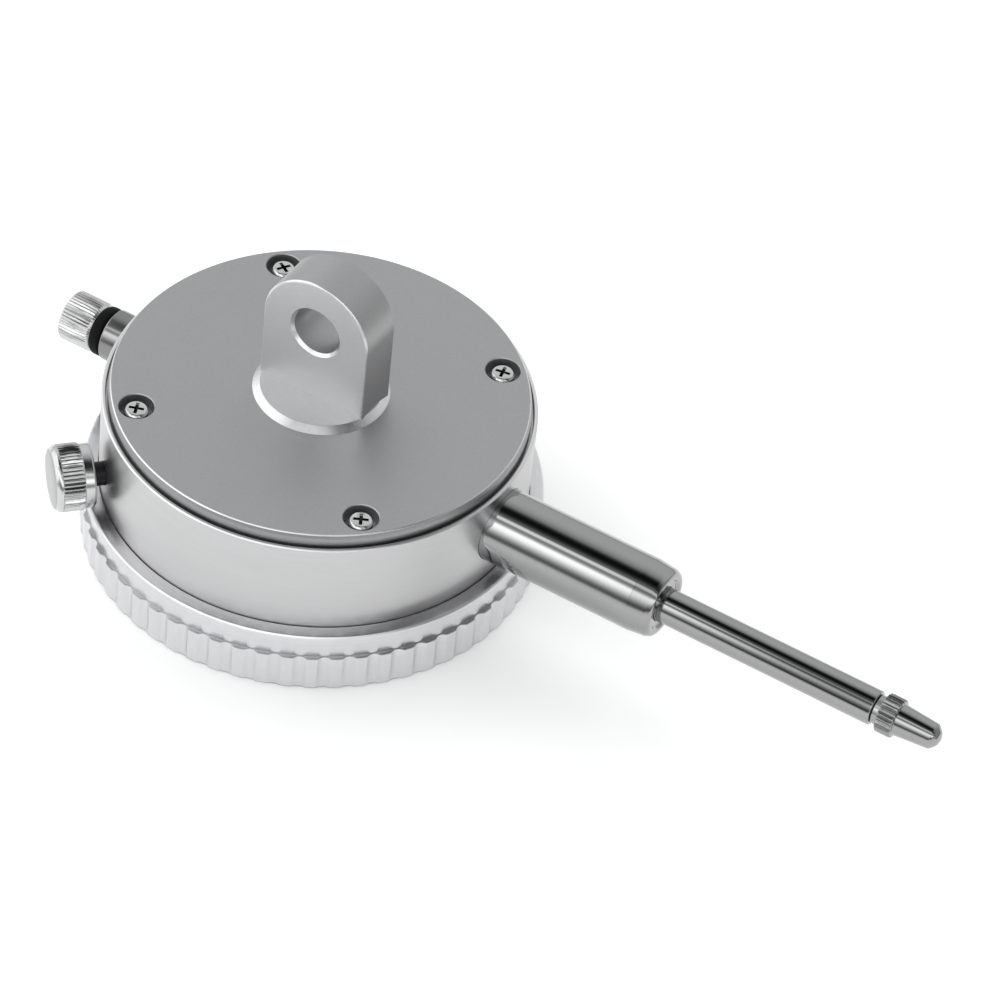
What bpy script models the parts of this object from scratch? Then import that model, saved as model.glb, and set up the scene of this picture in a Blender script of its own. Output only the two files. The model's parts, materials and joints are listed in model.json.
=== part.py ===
"""One inch travel dial indicator with a lug back, lying face down.

The origin is the centre of the bezel's front rim. +Z runs from the dial face to the back cover.
+X runs along the plunger towards the contact point.
Dimensions are in millimetres and are scaled to metres when a mesh is made.
"""

import math

import bmesh
import bpy
from mathutils import Matrix, Vector

MM = 0.001
TAU = 2 * math.pi

# Plunger line
AXIS_Z = 15.28
ROD_R = 2.225
BORE_R = 2.30
ROD_TOP_X = -32.5
ROD_END_X = 79.1
THREAD_END_X = -36.3
THREAD_R = 1.5
STEM_R = 9.525 / 2
STEM_INNER_X = 22.0
STEM_TAPER_X = 47.0
STEM_END_X = 50.1
BUSHING_R = 3.4
BUSHING_INNER_X = -22.0
BUSHING_END_X = -30.9
BUFFER_R = 3.25
BUFFER_X = (-32.5, -31.0)
CAP_R = 3.315
CAP_KNURL_DEPTH = 0.14
CAP_X = (-37.25, -32.55)
CONTACT_STUD_R = 1.2
CONTACT_STUD_LENGTH = 3.4
CONTACT_KNURL_R = (2.485, 2.35)
CONTACT_END_X = 87.8
CONTACT_PROFILE = (
    (1.95, 83.0),
    (1.62, 86.85),
    (1.30, 87.0),
    (0.80, 87.55),
)

# Case
CASE_R = 26.90
WALL_INNER_R = 25.0
WEB_FRONT_Z = 4.5
WEB_BACK_Z = 6.0
SEAT_Z = 20.6
RIM_Z = 21.5
RIM_INNER_R = 26.40
RING_SEGMENTS = 60
WIRE_GROOVE = (26.25, 6.8, 7.6)
RIM_CHAMFER = 0.15
BOSS_R = 2.6
BOSS_BOTTOM_Z = 15.2
POST_R = 1.8
POST_TOP_Z = 9.95
POSTS = ((-16.5, -8.5), (4.0, -16.5), (17.5, 12.5), (-10.0, 19.0))

# Back cover and lug
COVER_R = 26.10
COVER_BOTTOM_Z = 20.65
COVER_TOP_Z = 23.15
COVER_FLAT_R = 25.68
SCREW_CIRCLE_R = 23.02
SCREW_ANGLES = tuple(math.radians(45 + 90 * k) for k in range(4))
COUNTERBORE_R = 2.2
COUNTERBORE_Z = 21.15
COUNTERBORE_CHAMFER = 0.08
LUG_HALF_WIDTH = 7.45
LUG_FRONT_Y = -2.6
LUG_BACK_Y = 3.6
LUG_HOLE_Z = 34.07
LUG_HOLE_R = 3.175
LUG_EDGE = 0.2
LUG_HOLE_CHAMFER = 0.4
LUG_BOSS_R = 8.5
LUG_BOSS_TOP_R = 7.6
LUG_BOSS_HEIGHT = 0.78

# Bezel
FLUTES = 60
FLUTE_POINTS = 4
BEZEL_SEGMENTS = 60
BEZEL_R = 29.08
FLUTE_DEPTH = 0.45
FLUTE_SHARE = 0.56
FLUTE_TOP_Z = 5.18
SHOULDER_Z = 8.71
SHOULDER_R = 28.87
NECK_R = 28.46
BEZEL_BORE_R = 27.05

# Screws: head radius, shank radius and the hole each shank passes
COVER_SCREW = (1.55, 1.0, 1.06)
COVER_SCREW_TOP_Z = 22.85
COVER_SCREW_TIP_Z = 16.0
BRIDGE_SCREW = (1.3, 0.6, 0.7)
SMALL_SCREW = (1.2, 0.5, 0.56)
DIAL_SCREW = (0.9, 0.5, 0.56)
DIAL_SCREWS = ((0.0, -13.8), (0.0, 13.8))
SCREW_GAP = 0.05

# Movement: rack, rack gear, centre pinion and counter gear share one module
RACK_PITCH = 0.635
MODULE = RACK_PITCH / math.pi
ADDENDUM = 0.19
DEDENDUM = 0.27
WHEEL_TEETH = 100
CENTRE_TEETH = 10
RACK_PINION_TEETH = 40
RACK_LINE_Y = 1.6
PINION_PITCH_R = RACK_PINION_TEETH * MODULE / 2
CENTRE_DISTANCE = (WHEEL_TEETH + CENTRE_TEETH) * MODULE / 2
RACK_ARBOR_Y = RACK_LINE_Y + PINION_PITCH_R
RACK_ARBOR_X = -math.sqrt(CENTRE_DISTANCE**2 - RACK_ARBOR_Y**2)
COUNTER_X = CENTRE_DISTANCE
RACK_TEETH = 48
ARBOR_R = 0.6
ARBOR_HOLE_R = 0.66
BRIDGE_Z = (10.0, 11.2)
FOOT_Z = 11.25
COCK_SCREWS = ((-11.0, 13.6), (-8.2, 13.6))
GUIDE_SCREWS = ((-11.5, -8.3), (4.0, -8.3))
ARBOR_TIP_Z = 4.7
RACK_GEAR_Z = (8.6, 9.1)
COUNTER_GEAR_Z = (7.2, 7.7)
CENTRE_PINION_Z = (7.0, 9.4)
RACK_PINION_HALF_LENGTH = 0.95
GUIDE_PIN_X = 5.0
GUIDE_PIN_R = 0.75
TRAVEL = 25.4
SPRING_Y = -8.6
SPRING_POST_X = 20.3

# Bezel clamp
CLAMP_ANGLE = math.radians(226.3)
CLAMP_Z = 13.0
CLAMP_SHANK_R = 1.5
SHOE_TONGUE_Z = (7.95, 8.45)
SHOE_TOP_Z = 14.9
CLAMP_HOLE_R = 1.56
KNOB_R = 4.22
KNOB_COLLAR_R = 4.05
KNOB_KNURL_DEPTH = 0.16
KNOB_IN_R = 28.45
KNOB_KNURL = (29.95, 32.5)
KNOB_OUT_R = 33.72

# Dial face
CRYSTAL_R = 27.0
DIAL_RING_R = (16.8, 26.5)
DIAL_RING_Z = (2.95, 3.35)
INNER_DIAL_R = 17.4
INNER_DIAL_Z = (3.5, 3.9)


def clear_scene():
    for ob in list(bpy.data.objects):
        bpy.data.objects.remove(ob, do_unlink=True)


def material(name, colour, roughness, metallic):
    mat = bpy.data.materials.new(name)
    mat.use_nodes = True
    shader = mat.node_tree.nodes["Principled BSDF"]
    shader.inputs["Base Color"].default_value = (*colour, 1.0)
    shader.inputs["Roughness"].default_value = roughness
    shader.inputs["Metallic"].default_value = metallic
    return mat


def place(x=0.0, y=0.0, z=0.0):
    """Where a piece's own frame sits, in millimetres."""
    return Matrix.Translation((x, y, z))


def along_x(x=0.0):
    """A frame on the plunger line whose own +Z is the world's +X."""
    return place(x, 0.0, AXIS_Z) @ Matrix.Rotation(math.pi / 2, 4, "Y")


def along_radius(angle, z):
    """A frame whose own +Z points outwards from the case at the given angle."""
    return place(0, 0, z) @ Matrix.Rotation(angle, 4, "Z") @ Matrix.Rotation(math.pi / 2, 4, "Y")


def circle(radius, z, count):
    if radius == 0:
        return [Vector((0, 0, z))]
    points = []
    for i in range(count):
        a = TAU * i / count
        points.append(Vector((radius * math.cos(a), radius * math.sin(a), z)))
    return points


def star(tip, root, z, teeth):
    """A ring of alternate tips and roots, for a straight knurl."""
    points = []
    for i in range(2 * teeth):
        a = TAU * i / (2 * teeth)
        r = root if i % 2 else tip
        points.append(Vector((r * math.cos(a), r * math.sin(a), z)))
    return points


def add_rings(bm, rings, matrix=None, loop=False):
    """Joins rings of equal size into one closed skin. A ring of one point closes that end."""
    made = []
    for ring in rings:
        made.append([bm.verts.new(matrix @ p if matrix else p) for p in ring])
    pairs = list(zip(made, made[1:]))
    if loop:
        pairs.append((made[-1], made[0]))
    for low, high in pairs:
        count = max(len(low), len(high))
        for i in range(count):
            j = (i + 1) % count
            if len(low) == 1:
                bm.faces.new((low[0], high[i], high[j]))
            elif len(high) == 1:
                bm.faces.new((low[i], low[j], high[0]))
            else:
                bm.faces.new((low[i], low[j], high[j], high[i]))
    if not loop:
        for ring in (made[0], made[-1]):
            if len(ring) > 1:
                bm.faces.new(ring)


def add_turned(bm, profile, count, matrix=None, loop=False):
    """Turns a profile of (radius, height) pairs about Z. A flat end is closed by one face."""
    profile = list(profile)
    if profile[0][0] == 0 and profile[0][1] == profile[1][1]:
        profile.pop(0)
    if profile[-1][0] == 0 and profile[-1][1] == profile[-2][1]:
        profile.pop()
    add_rings(bm, [circle(r, z, count) for r, z in profile], matrix, loop)


def add_pin(bm, radius, low, high, count, matrix=None):
    """A plain round bar along Z, used for bosses and for drilled holes."""
    add_turned(bm, ((0, low), (radius, low), (radius, high), (0, high)), count, matrix)


def add_prism(bm, outline, low, high, matrix=None):
    rings = [[Vector((x, y, z)) for x, y in outline] for z in (low, high)]
    add_rings(bm, rings, matrix)


def add_box(bm, low, high, matrix=None):
    outline = ((low[0], low[1]), (high[0], low[1]), (high[0], high[1]), (low[0], high[1]))
    add_prism(bm, outline, low[2], high[2], matrix)


def add_wire(bm, path, radius, sides):
    """Sweeps a round wire along a path of points."""
    rings = []
    side = Vector((0, 0, 1))
    for i, point in enumerate(path):
        ahead = path[min(i + 1, len(path) - 1)] - path[max(i - 1, 0)]
        ahead.normalize()
        side = (side - ahead * side.dot(ahead)).normalized()
        other = ahead.cross(side)
        ring = []
        for k in range(sides):
            a = TAU * k / sides
            ring.append(point + radius * (math.cos(a) * side + math.sin(a) * other))
        rings.append(ring)
    add_rings(bm, rings)


def finish(bm, name, mat, matrix=None, sharp=35):
    """Makes the object. Its mesh is in its own frame and the matrix places that frame."""
    bmesh.ops.recalc_face_normals(bm, faces=bm.faces)
    bmesh.ops.scale(bm, vec=(MM, MM, MM), verts=bm.verts)
    mesh = bpy.data.meshes.new(name)
    bm.to_mesh(mesh)
    bm.free()
    ob = bpy.data.objects.new(name, mesh)
    bpy.context.scene.collection.objects.link(ob)
    if mat is not None:
        mesh.materials.append(mat)
    mesh.shade_smooth()
    mesh.set_sharp_from_angle(angle=math.radians(sharp))
    if matrix is not None:
        ob.matrix_world = Matrix.Translation(matrix.translation * MM) @ matrix.to_3x3().to_4x4()
    return ob


def turned(name, mat, profile, count, matrix=None, loop=False):
    bm = bmesh.new()
    add_turned(bm, profile, count, loop=loop)
    return finish(bm, name, mat, matrix)


def combine(target, bm, operation):
    """Joins or cuts a target with the solids in bm, which are in world millimetres."""
    tool = finish(bm, target.name + "_" + operation.lower(), None)
    tool.hide_render = True
    tool.display_type = "WIRE"
    modifier = target.modifiers.new(operation.title(), "BOOLEAN")
    modifier.object = tool
    modifier.operation = operation
    modifier.solver = "EXACT"


def leaf_outline(teeth, pitch_r, phase):
    """A pinion with narrow leaves. Each leaf's half width is given as a share of the tooth pitch."""
    outline = []
    step = TAU / teeth
    left = ((pitch_r - DEDENDUM, 0.22), (pitch_r, 0.19), (pitch_r + ADDENDUM, 0.07))
    for k in range(teeth):
        middle = phase + k * step
        for r, half in left:
            a = middle - half * step
            outline.append((r * math.cos(a), r * math.sin(a)))
        for r, half in reversed(left):
            a = middle + half * step
            outline.append((r * math.cos(a), r * math.sin(a)))
    return outline


def wheel_outline(teeth, phase):
    """The outline of a wheel with fine pointed teeth, one tooth centred on the phase angle."""
    outline = []
    pitch_r = teeth * MODULE / 2
    for k in range(2 * teeth):
        r = pitch_r - DEDENDUM if k % 2 else pitch_r + ADDENDUM
        a = phase + k * math.pi / teeth
        outline.append((r * math.cos(a), r * math.sin(a)))
    return outline


def hull_outline(circles, radius, count=8):
    """The convex outline round circles of one radius."""
    points = set()
    for x, y in circles:
        for i in range(count):
            a = TAU * i / count
            points.add((round(x + radius * math.cos(a), 6), round(y + radius * math.sin(a), 6)))
    points = sorted(points)

    def half(sequence):
        out = []
        for p in sequence:
            while len(out) > 1:
                (ax, ay), (bx, by) = out[-2], out[-1]
                if (bx - ax) * (p[1] - ay) - (by - ay) * (p[0] - ax) > 0:
                    break
                out.pop()
            out.append(p)
        return out[:-1]

    return half(points) + half(reversed(points))


def build_case(mat):
    groove_r, groove_low, groove_high = WIRE_GROOVE
    profile = (
        (0, WEB_FRONT_Z),
        (CASE_R - 0.3, WEB_FRONT_Z),
        (CASE_R, WEB_FRONT_Z + 0.3),
        (CASE_R, groove_low),
        (groove_r, groove_low),
        (groove_r, groove_high),
        (CASE_R, groove_high),
        (CASE_R, RIM_Z - RIM_CHAMFER),
        (CASE_R - RIM_CHAMFER, RIM_Z),
        (RIM_INNER_R, RIM_Z),
        (RIM_INNER_R, SEAT_Z),
        (WALL_INNER_R, SEAT_Z),
        (WALL_INNER_R, WEB_BACK_Z),
        (0, WEB_BACK_Z),
    )
    case = turned("case", mat, profile, RING_SEGMENTS)

    bosses = bmesh.new()
    for angle in SCREW_ANGLES:
        at = place(SCREW_CIRCLE_R * math.cos(angle), SCREW_CIRCLE_R * math.sin(angle))
        add_pin(bosses, BOSS_R, BOSS_BOTTOM_Z, SEAT_Z - 0.05, 14, at)
    for x, y in POSTS:
        add_pin(bosses, POST_R, WEB_BACK_Z - 0.5, POST_TOP_Z, 12, place(x, y))
    combine(case, bosses, "UNION")

    holes = bmesh.new()
    for angle in SCREW_ANGLES:
        at = place(SCREW_CIRCLE_R * math.cos(angle), SCREW_CIRCLE_R * math.sin(angle))
        add_pin(holes, COVER_SCREW[2], BOSS_BOTTOM_Z - 0.5, RIM_Z, 12, at)
    for x, y in POSTS:
        add_pin(holes, ARBOR_HOLE_R, POST_TOP_Z - 2.45, POST_TOP_Z + 0.55, 10, place(x, y))
    for x, y in ((0, 0), (RACK_ARBOR_X, RACK_ARBOR_Y), (COUNTER_X, 0), (SPRING_POST_X, SPRING_Y)):
        add_pin(holes, ARBOR_HOLE_R, WEB_FRONT_Z - 0.5, WEB_BACK_Z + 0.5, 12, place(x, y))
    for x, y in DIAL_SCREWS:
        add_pin(holes, DIAL_SCREW[2], WEB_FRONT_Z - 0.5, WEB_BACK_Z - 0.3, 10, place(x, y))
    inside, outside = WALL_INNER_R - 2, CASE_R + 2
    add_pin(holes, STEM_R + 0.05, inside, outside, 36, along_x())
    add_pin(holes, BUSHING_R + 0.05, -outside, -inside, 28, along_x())
    add_pin(holes, CLAMP_HOLE_R, inside, outside, 16, along_radius(CLAMP_ANGLE, CLAMP_Z))
    low, high = SHOE_TONGUE_Z
    add_box(holes, (inside, -1.6, low - 0.1), (outside, 1.6, high + 0.1), Matrix.Rotation(CLAMP_ANGLE, 4, "Z"))
    combine(case, holes, "DIFFERENCE")


def build_cover(mat):
    profile = (
        (0, COVER_BOTTOM_Z),
        (COVER_R, COVER_BOTTOM_Z),
        (COVER_R, COVER_TOP_Z - 0.80),
        (COVER_R - 0.06, COVER_TOP_Z - 0.55),
        (COVER_R - 0.20, COVER_TOP_Z - 0.22),
        (COVER_FLAT_R, COVER_TOP_Z),
        (0, COVER_TOP_Z),
    )
    cover = turned("back_cover", mat, profile, RING_SEGMENTS)

    lug = bmesh.new()
    low = COVER_TOP_Z - 1.2
    top = COVER_TOP_Z + LUG_BOSS_HEIGHT
    profile = ((0, low), (LUG_BOSS_R, low), (LUG_BOSS_R, COVER_TOP_Z + 0.02), (LUG_BOSS_TOP_R, top), (0, top))
    add_turned(lug, profile, 32)
    combine(cover, lug, "UNION")

    ear = bmesh.new()
    upright = Matrix.Rotation(math.pi / 2, 4, "X")
    rings = []
    sections = (
        (LUG_FRONT_Y, LUG_EDGE),
        (LUG_FRONT_Y + LUG_EDGE, 0),
        (LUG_BACK_Y - LUG_EDGE, 0),
        (LUG_BACK_Y, LUG_EDGE),
    )
    foot = COVER_TOP_Z - 0.9
    for y, inset in sections:
        r = LUG_HALF_WIDTH - inset
        ring = [Vector((r, foot, -y))]
        for i in range(17):
            a = math.pi * i / 16
            ring.append(Vector((r * math.cos(a), LUG_HOLE_Z + r * math.sin(a), -y)))
        ring.append(Vector((-r, foot, -y)))
        rings.append(ring)
    add_rings(ear, rings, upright)
    combine(cover, ear, "UNION")

    holes = bmesh.new()
    cut = (
        (0, COVER_BOTTOM_Z - 1),
        (COVER_SCREW[2], COVER_BOTTOM_Z - 1),
        (COVER_SCREW[2], COUNTERBORE_Z),
        (COUNTERBORE_R, COUNTERBORE_Z),
        (COUNTERBORE_R, COVER_TOP_Z - COUNTERBORE_CHAMFER),
        (COUNTERBORE_R + COUNTERBORE_CHAMFER, COVER_TOP_Z),
        (COUNTERBORE_R + COUNTERBORE_CHAMFER, COVER_TOP_Z + 1),
        (0, COVER_TOP_Z + 1),
    )
    for angle in SCREW_ANGLES:
        add_turned(holes, cut, 14, place(SCREW_CIRCLE_R * math.cos(angle), SCREW_CIRCLE_R * math.sin(angle)))
    chamfer = LUG_HOLE_CHAMFER
    mouth = LUG_HOLE_R + chamfer
    bore = (
        (0, -LUG_BACK_Y - 1),
        (mouth, -LUG_BACK_Y - 1),
        (mouth, -LUG_BACK_Y),
        (LUG_HOLE_R, -LUG_BACK_Y + chamfer),
        (LUG_HOLE_R, -LUG_FRONT_Y - chamfer),
        (mouth, -LUG_FRONT_Y),
        (mouth, -LUG_FRONT_Y + 1),
        (0, -LUG_FRONT_Y + 1),
    )
    add_turned(holes, bore, 28, place(0, 0, LUG_HOLE_Z) @ upright)
    combine(cover, holes, "DIFFERENCE")


def build_screw(name, mat, at, sizes, top, under, tip, count, cross=False):
    """A screw standing on Z: its head lies between under and top, and its shank runs down to tip."""
    head_r, shank_r, _ = sizes
    profile = (
        (0, tip),
        (shank_r, tip),
        (shank_r, under),
        (head_r, under),
        (head_r, top - 0.2 * head_r),
        (head_r * 0.8, top),
        (0, top),
    )
    screw = turned(name, mat, profile, count, at)
    slots = bmesh.new()
    floor = top - 0.45 * (top - under)
    half = 0.13 * head_r
    if cross:
        reach = 0.6 * head_r
        arms = ((half, reach), (half, half), (reach, half), (reach, -half), (half, -half), (half, -reach))
        add_prism(slots, arms + tuple((-x, -y) for x, y in arms), floor, top + 1, at)
    else:
        add_box(slots, (-2 * head_r, -half, floor), (2 * head_r, half, top + 1), at)
    combine(screw, slots, "DIFFERENCE")


def build_cover_screws(mat):
    for k, angle in enumerate(SCREW_ANGLES, 1):
        at = place(SCREW_CIRCLE_R * math.cos(angle), SCREW_CIRCLE_R * math.sin(angle))
        build_screw(f"cover_screw_{k}", mat, at, COVER_SCREW, COVER_SCREW_TOP_Z, COUNTERBORE_Z + SCREW_GAP,
                    COVER_SCREW_TIP_Z, 16, cross=True)


def build_stem(mat):
    profile = (
        (BORE_R, STEM_INNER_X),
        (STEM_R - 0.2, STEM_INNER_X),
        (STEM_R, STEM_INNER_X + 0.2),
        (STEM_R, STEM_TAPER_X),
        (4.50, 49.35),
        (4.25, 49.85),
        (3.90, STEM_END_X),
        (3.35, STEM_END_X),
        (3.05, 49.75),
        (BORE_R, 49.75),
    )
    turned("stem", mat, profile, 32, along_x(), loop=True)


def build_bushing(mat):
    profile = (
        (BORE_R, BUSHING_END_X),
        (BUSHING_R - 0.2, BUSHING_END_X),
        (BUSHING_R, BUSHING_END_X + 0.2),
        (BUSHING_R, -27.9),
        (BUSHING_R + 0.35, -27.7),
        (BUSHING_R + 0.35, -27.0),
        (BUSHING_R, -27.0),
        (BUSHING_R, BUSHING_INNER_X),
        (BORE_R, BUSHING_INNER_X),
    )
    turned("upper_bushing", mat, profile, 26, along_x(), loop=True)


def build_rod(mat):
    profile = (
        (0, THREAD_END_X),
        (THREAD_R, THREAD_END_X),
        (THREAD_R, ROD_TOP_X),
        (ROD_R, ROD_TOP_X),
        (ROD_R, ROD_END_X - 0.2),
        (ROD_R - 0.2, ROD_END_X),
        (CONTACT_STUD_R + 0.05, ROD_END_X),
        (CONTACT_STUD_R + 0.05, ROD_END_X - 3.6),
        (0, ROD_END_X - 3.6),
    )
    rod = turned("plunger_rod", mat, profile, 24, along_x())

    rack = bmesh.new()
    tip = RACK_LINE_Y + ADDENDUM
    root = RACK_LINE_Y - DEDENDUM
    outline = []
    first = RACK_ARBOR_X - 3 * RACK_PITCH
    for k in range(RACK_TEETH):
        x = first + k * RACK_PITCH
        outline.append((x - RACK_PITCH / 2, root))
        outline.append((x, tip))
    low = outline[0][0] - 0.4
    high = outline[-1][0] + RACK_PITCH / 2
    outline = [(low, root)] + outline + [(high, root), (high + 0.4, root), (high + 0.4, 4), (low, 4)]
    add_prism(rack, outline, AXIS_Z - 4, AXIS_Z + 4)
    hole = place(GUIDE_PIN_X, 0, AXIS_Z) @ Matrix.Rotation(math.pi / 2, 4, "X")
    add_pin(rack, GUIDE_PIN_R + 0.03, -0.3, 4, 14, hole)
    combine(rod, rack, "DIFFERENCE")


def build_plunger_fittings(steel, chrome, rubber):
    teeth = 16
    count = 2 * teeth
    stud_x = ROD_END_X - CONTACT_STUD_LENGTH
    head_x = ROD_END_X + 0.1
    tip, root = CONTACT_KNURL_R
    rings = [
        [Vector((0, 0, stud_x))],
        circle(CONTACT_STUD_R, stud_x, count),
        circle(CONTACT_STUD_R, head_x, count),
        circle(1.7, head_x, count),
        circle(1.7, head_x + 0.75, count),
        star(tip, root, head_x + 0.85, teeth),
        star(tip, root, head_x + 2.85, teeth),
        circle(2.0, head_x + 3.05, count),
    ]
    rings += [circle(r, x, count) for r, x in CONTACT_PROFILE]
    rings.append([Vector((0, 0, CONTACT_END_X))])
    bm = bmesh.new()
    add_rings(bm, rings)
    finish(bm, "contact_point", steel, along_x())

    teeth = 26
    count = 2 * teeth
    thread = THREAD_R + 0.05
    root = CAP_R - CAP_KNURL_DEPTH
    rings = [
        [Vector((0, 0, CAP_X[0]))],
        circle(CAP_R - 0.35, CAP_X[0] + 0.03, count),
        star(CAP_R, root, CAP_X[0] + 0.35, teeth),
        star(CAP_R, root, CAP_X[1] - 0.3, teeth),
        circle(CAP_R - 0.25, CAP_X[1], count),
        circle(thread, CAP_X[1], count),
        circle(thread, THREAD_END_X - 0.3, count),
        [Vector((0, 0, THREAD_END_X - 0.3))],
    ]
    bm = bmesh.new()
    add_rings(bm, rings)
    finish(bm, "top_cap", chrome, along_x())

    profile = (
        (BORE_R, BUFFER_X[0]),
        (BUFFER_R - 0.35, BUFFER_X[0]),
        (BUFFER_R, BUFFER_X[0] + 0.4),
        (BUFFER_R, BUFFER_X[1] - 0.4),
        (BUFFER_R - 0.35, BUFFER_X[1]),
        (BORE_R, BUFFER_X[1]),
    )
    turned("buffer_ring", rubber, profile, 28, along_x(), loop=True)

    pin = place(GUIDE_PIN_X, 0, AXIS_Z) @ Matrix.Rotation(math.pi / 2, 4, "X")
    head_r = GUIDE_PIN_R + 0.35
    profile = ((0, -0.2), (GUIDE_PIN_R, -0.2), (GUIDE_PIN_R, 9.5), (head_r, 9.6), (head_r, 10.0), (0, 10.0))
    turned("guide_pin", steel, profile, 14, pin)


def build_bezel(mat):
    bm = bmesh.new()
    plain = (
        (NECK_R, FLUTE_TOP_Z),
        (SHOULDER_R, 8.45),
        (SHOULDER_R - 0.25, SHOULDER_Z),
        (BEZEL_BORE_R, SHOULDER_Z),
        (BEZEL_BORE_R, 7.65),
        (BEZEL_BORE_R + 0.5, 7.65),
        (BEZEL_BORE_R + 0.5, 6.75),
        (BEZEL_BORE_R, 6.75),
        (BEZEL_BORE_R, 4.35),
        (26.6, 4.35),
        (26.6, 2.9),
        (25.7, 2.9),
        (25.7, 1.75),
        (27.1, 1.75),
        (27.1, 0.35),
        (27.4, 0),
        (28.35, 0),
    )
    rings = []
    for r, z in plain:
        rings.append([bm.verts.new(p) for p in circle(r, z, BEZEL_SEGMENTS)])
    for low, high in zip(rings, rings[1:]):
        for i in range(BEZEL_SEGMENTS):
            j = (i + 1) % BEZEL_SEGMENTS
            bm.faces.new((low[i], low[j], high[j], high[i]))

    step = TAU / FLUTES
    edge = []
    for z, inset in ((FLUTE_TOP_Z, 0.0), (0.3, 0.0), (0.0, 0.28)):
        ring = []
        for k in range(FLUTES):
            for i in range(FLUTE_POINTS):
                share = i / FLUTE_POINTS
                inside = min(share, 1 - share) / (FLUTE_SHARE / 2)
                depth = FLUTE_DEPTH * max(0.0, 1 - inside**2)
                r = BEZEL_R - depth - inset
                a = (k + share) * step
                ring.append(bm.verts.new((r * math.cos(a), r * math.sin(a), z)))
        edge.append(ring)
    total = FLUTES * FLUTE_POINTS
    for low, high in zip(edge, edge[1:]):
        for i in range(total):
            j = (i + 1) % total
            bm.faces.new((low[i], low[j], high[j], high[i]))
    for fluted, inner in ((edge[0], rings[0]), (edge[-1], rings[-1])):
        for k in range(FLUTES):
            outer = [fluted[(k * FLUTE_POINTS + i) % total] for i in range(FLUTE_POINTS + 1)]
            bm.faces.new(outer + [inner[(k + 1) % FLUTES], inner[k]])
    finish(bm, "bezel", mat, sharp=25)


def build_dial(white, clear, steel):
    profile = ((0, 0), (CRYSTAL_R - 0.45, 0), (CRYSTAL_R, 0.45), (CRYSTAL_R, 1.7), (0, 1.7))
    turned("crystal", clear, profile, 48)

    low, high = DIAL_RING_Z
    inner, outer = DIAL_RING_R
    turned("dial_ring", white, ((inner, low), (outer, low), (outer, high), (inner, high)), 60, loop=True)

    low, high = INNER_DIAL_Z
    dial = turned("inner_dial", white, ((0, low), (INNER_DIAL_R, low), (INNER_DIAL_R, high), (0, high)), 48)
    holes = bmesh.new()
    for x, y in ((0, 0), (COUNTER_X, 0)):
        add_pin(holes, 0.9, low - 0.5, high + 0.5, 12, place(x, y))
    for x, y in DIAL_SCREWS:
        add_pin(holes, DIAL_SCREW[2], low - 0.5, high + 0.5, 12, place(x, y))
    combine(dial, holes, "DIFFERENCE")

    head_r, shank_r, _ = DIAL_SCREW
    top, under, tip = low - 0.4, low - SCREW_GAP, WEB_BACK_Z - 0.5
    profile = ((0, top), (head_r, top), (head_r, under), (shank_r, under), (shank_r, tip), (0, tip))
    for k, (x, y) in enumerate(DIAL_SCREWS, 1):
        turned(f"dial_screw_{k}", steel, profile, 12, place(x, y))


def build_snap_wire(mat):
    """A split ring of square wire that holds the bezel on the case."""
    bm = bmesh.new()
    rings = []
    count = 44
    gap = math.radians(14)
    for i in range(count + 1):
        a = gap + (TAU - 2 * gap) * i / count
        ring = []
        for r, z in ((26.40, 6.95), (27.32, 6.95), (27.32, 7.45), (26.40, 7.45)):
            ring.append(Vector((r * math.cos(a), r * math.sin(a), z)))
        rings.append(ring)
    add_rings(bm, rings)
    finish(bm, "bezel_snap_wire", mat)


def build_bridge(mat, steel):
    bearings = ((0, 0), (RACK_ARBOR_X, RACK_ARBOR_Y), (COUNTER_X, 0))
    bm = bmesh.new()
    add_prism(bm, hull_outline(POSTS + bearings, 2.6), BRIDGE_Z[0], BRIDGE_Z[1])
    bridge = finish(bm, "movement_bridge", mat)
    cuts = [(x, y, BRIDGE_SCREW[2]) for x, y in POSTS]
    cuts += [(0, 0, ARBOR_HOLE_R), (COUNTER_X, 0, ARBOR_HOLE_R), (RACK_ARBOR_X, RACK_ARBOR_Y, 0.88)]
    cuts += [(x, y, SMALL_SCREW[2]) for x, y in COCK_SCREWS + GUIDE_SCREWS]
    holes = bmesh.new()
    for x, y, r in cuts:
        add_pin(holes, r, BRIDGE_Z[0] - 0.5, BRIDGE_Z[1] + 0.5, 10, place(x, y))
    combine(bridge, holes, "DIFFERENCE")
    under = BRIDGE_Z[1] + SCREW_GAP
    for k, (x, y) in enumerate(POSTS, 1):
        build_screw(f"bridge_screw_{k}", steel, place(x, y), BRIDGE_SCREW, 12.0, under, 7.8, 10)


def build_rack_cock(mat, steel):
    """The upper bearing of the rack gear's arbor: an arm on a foot."""
    arm_low, arm_high = 17.8, 18.9
    outline = (
        (10.6, FOOT_Z),
        (16.5, FOOT_Z),
        (16.5, arm_high),
        (3.0, arm_high),
        (3.0, arm_low),
        (10.6, arm_low),
    )
    bm = bmesh.new()
    rings = [[Vector((x, y, z)) for y, z in outline] for x in (-12.1, -7.1)]
    add_rings(bm, rings)
    cock = finish(bm, "rack_cock", mat)
    holes = bmesh.new()
    add_pin(holes, ARBOR_HOLE_R, arm_low - 0.8, arm_high + 1.1, 12, place(RACK_ARBOR_X, RACK_ARBOR_Y))
    for x, y in COCK_SCREWS:
        add_pin(holes, SMALL_SCREW[2], FOOT_Z - 1, arm_high + 1, 10, place(x, y))
    combine(cock, holes, "DIFFERENCE")
    for k, (x, y) in enumerate(COCK_SCREWS, 1):
        build_screw(f"cock_screw_{k}", steel, place(x, y), SMALL_SCREW, 19.7, arm_high + SCREW_GAP, 10.3, 10)


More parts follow.
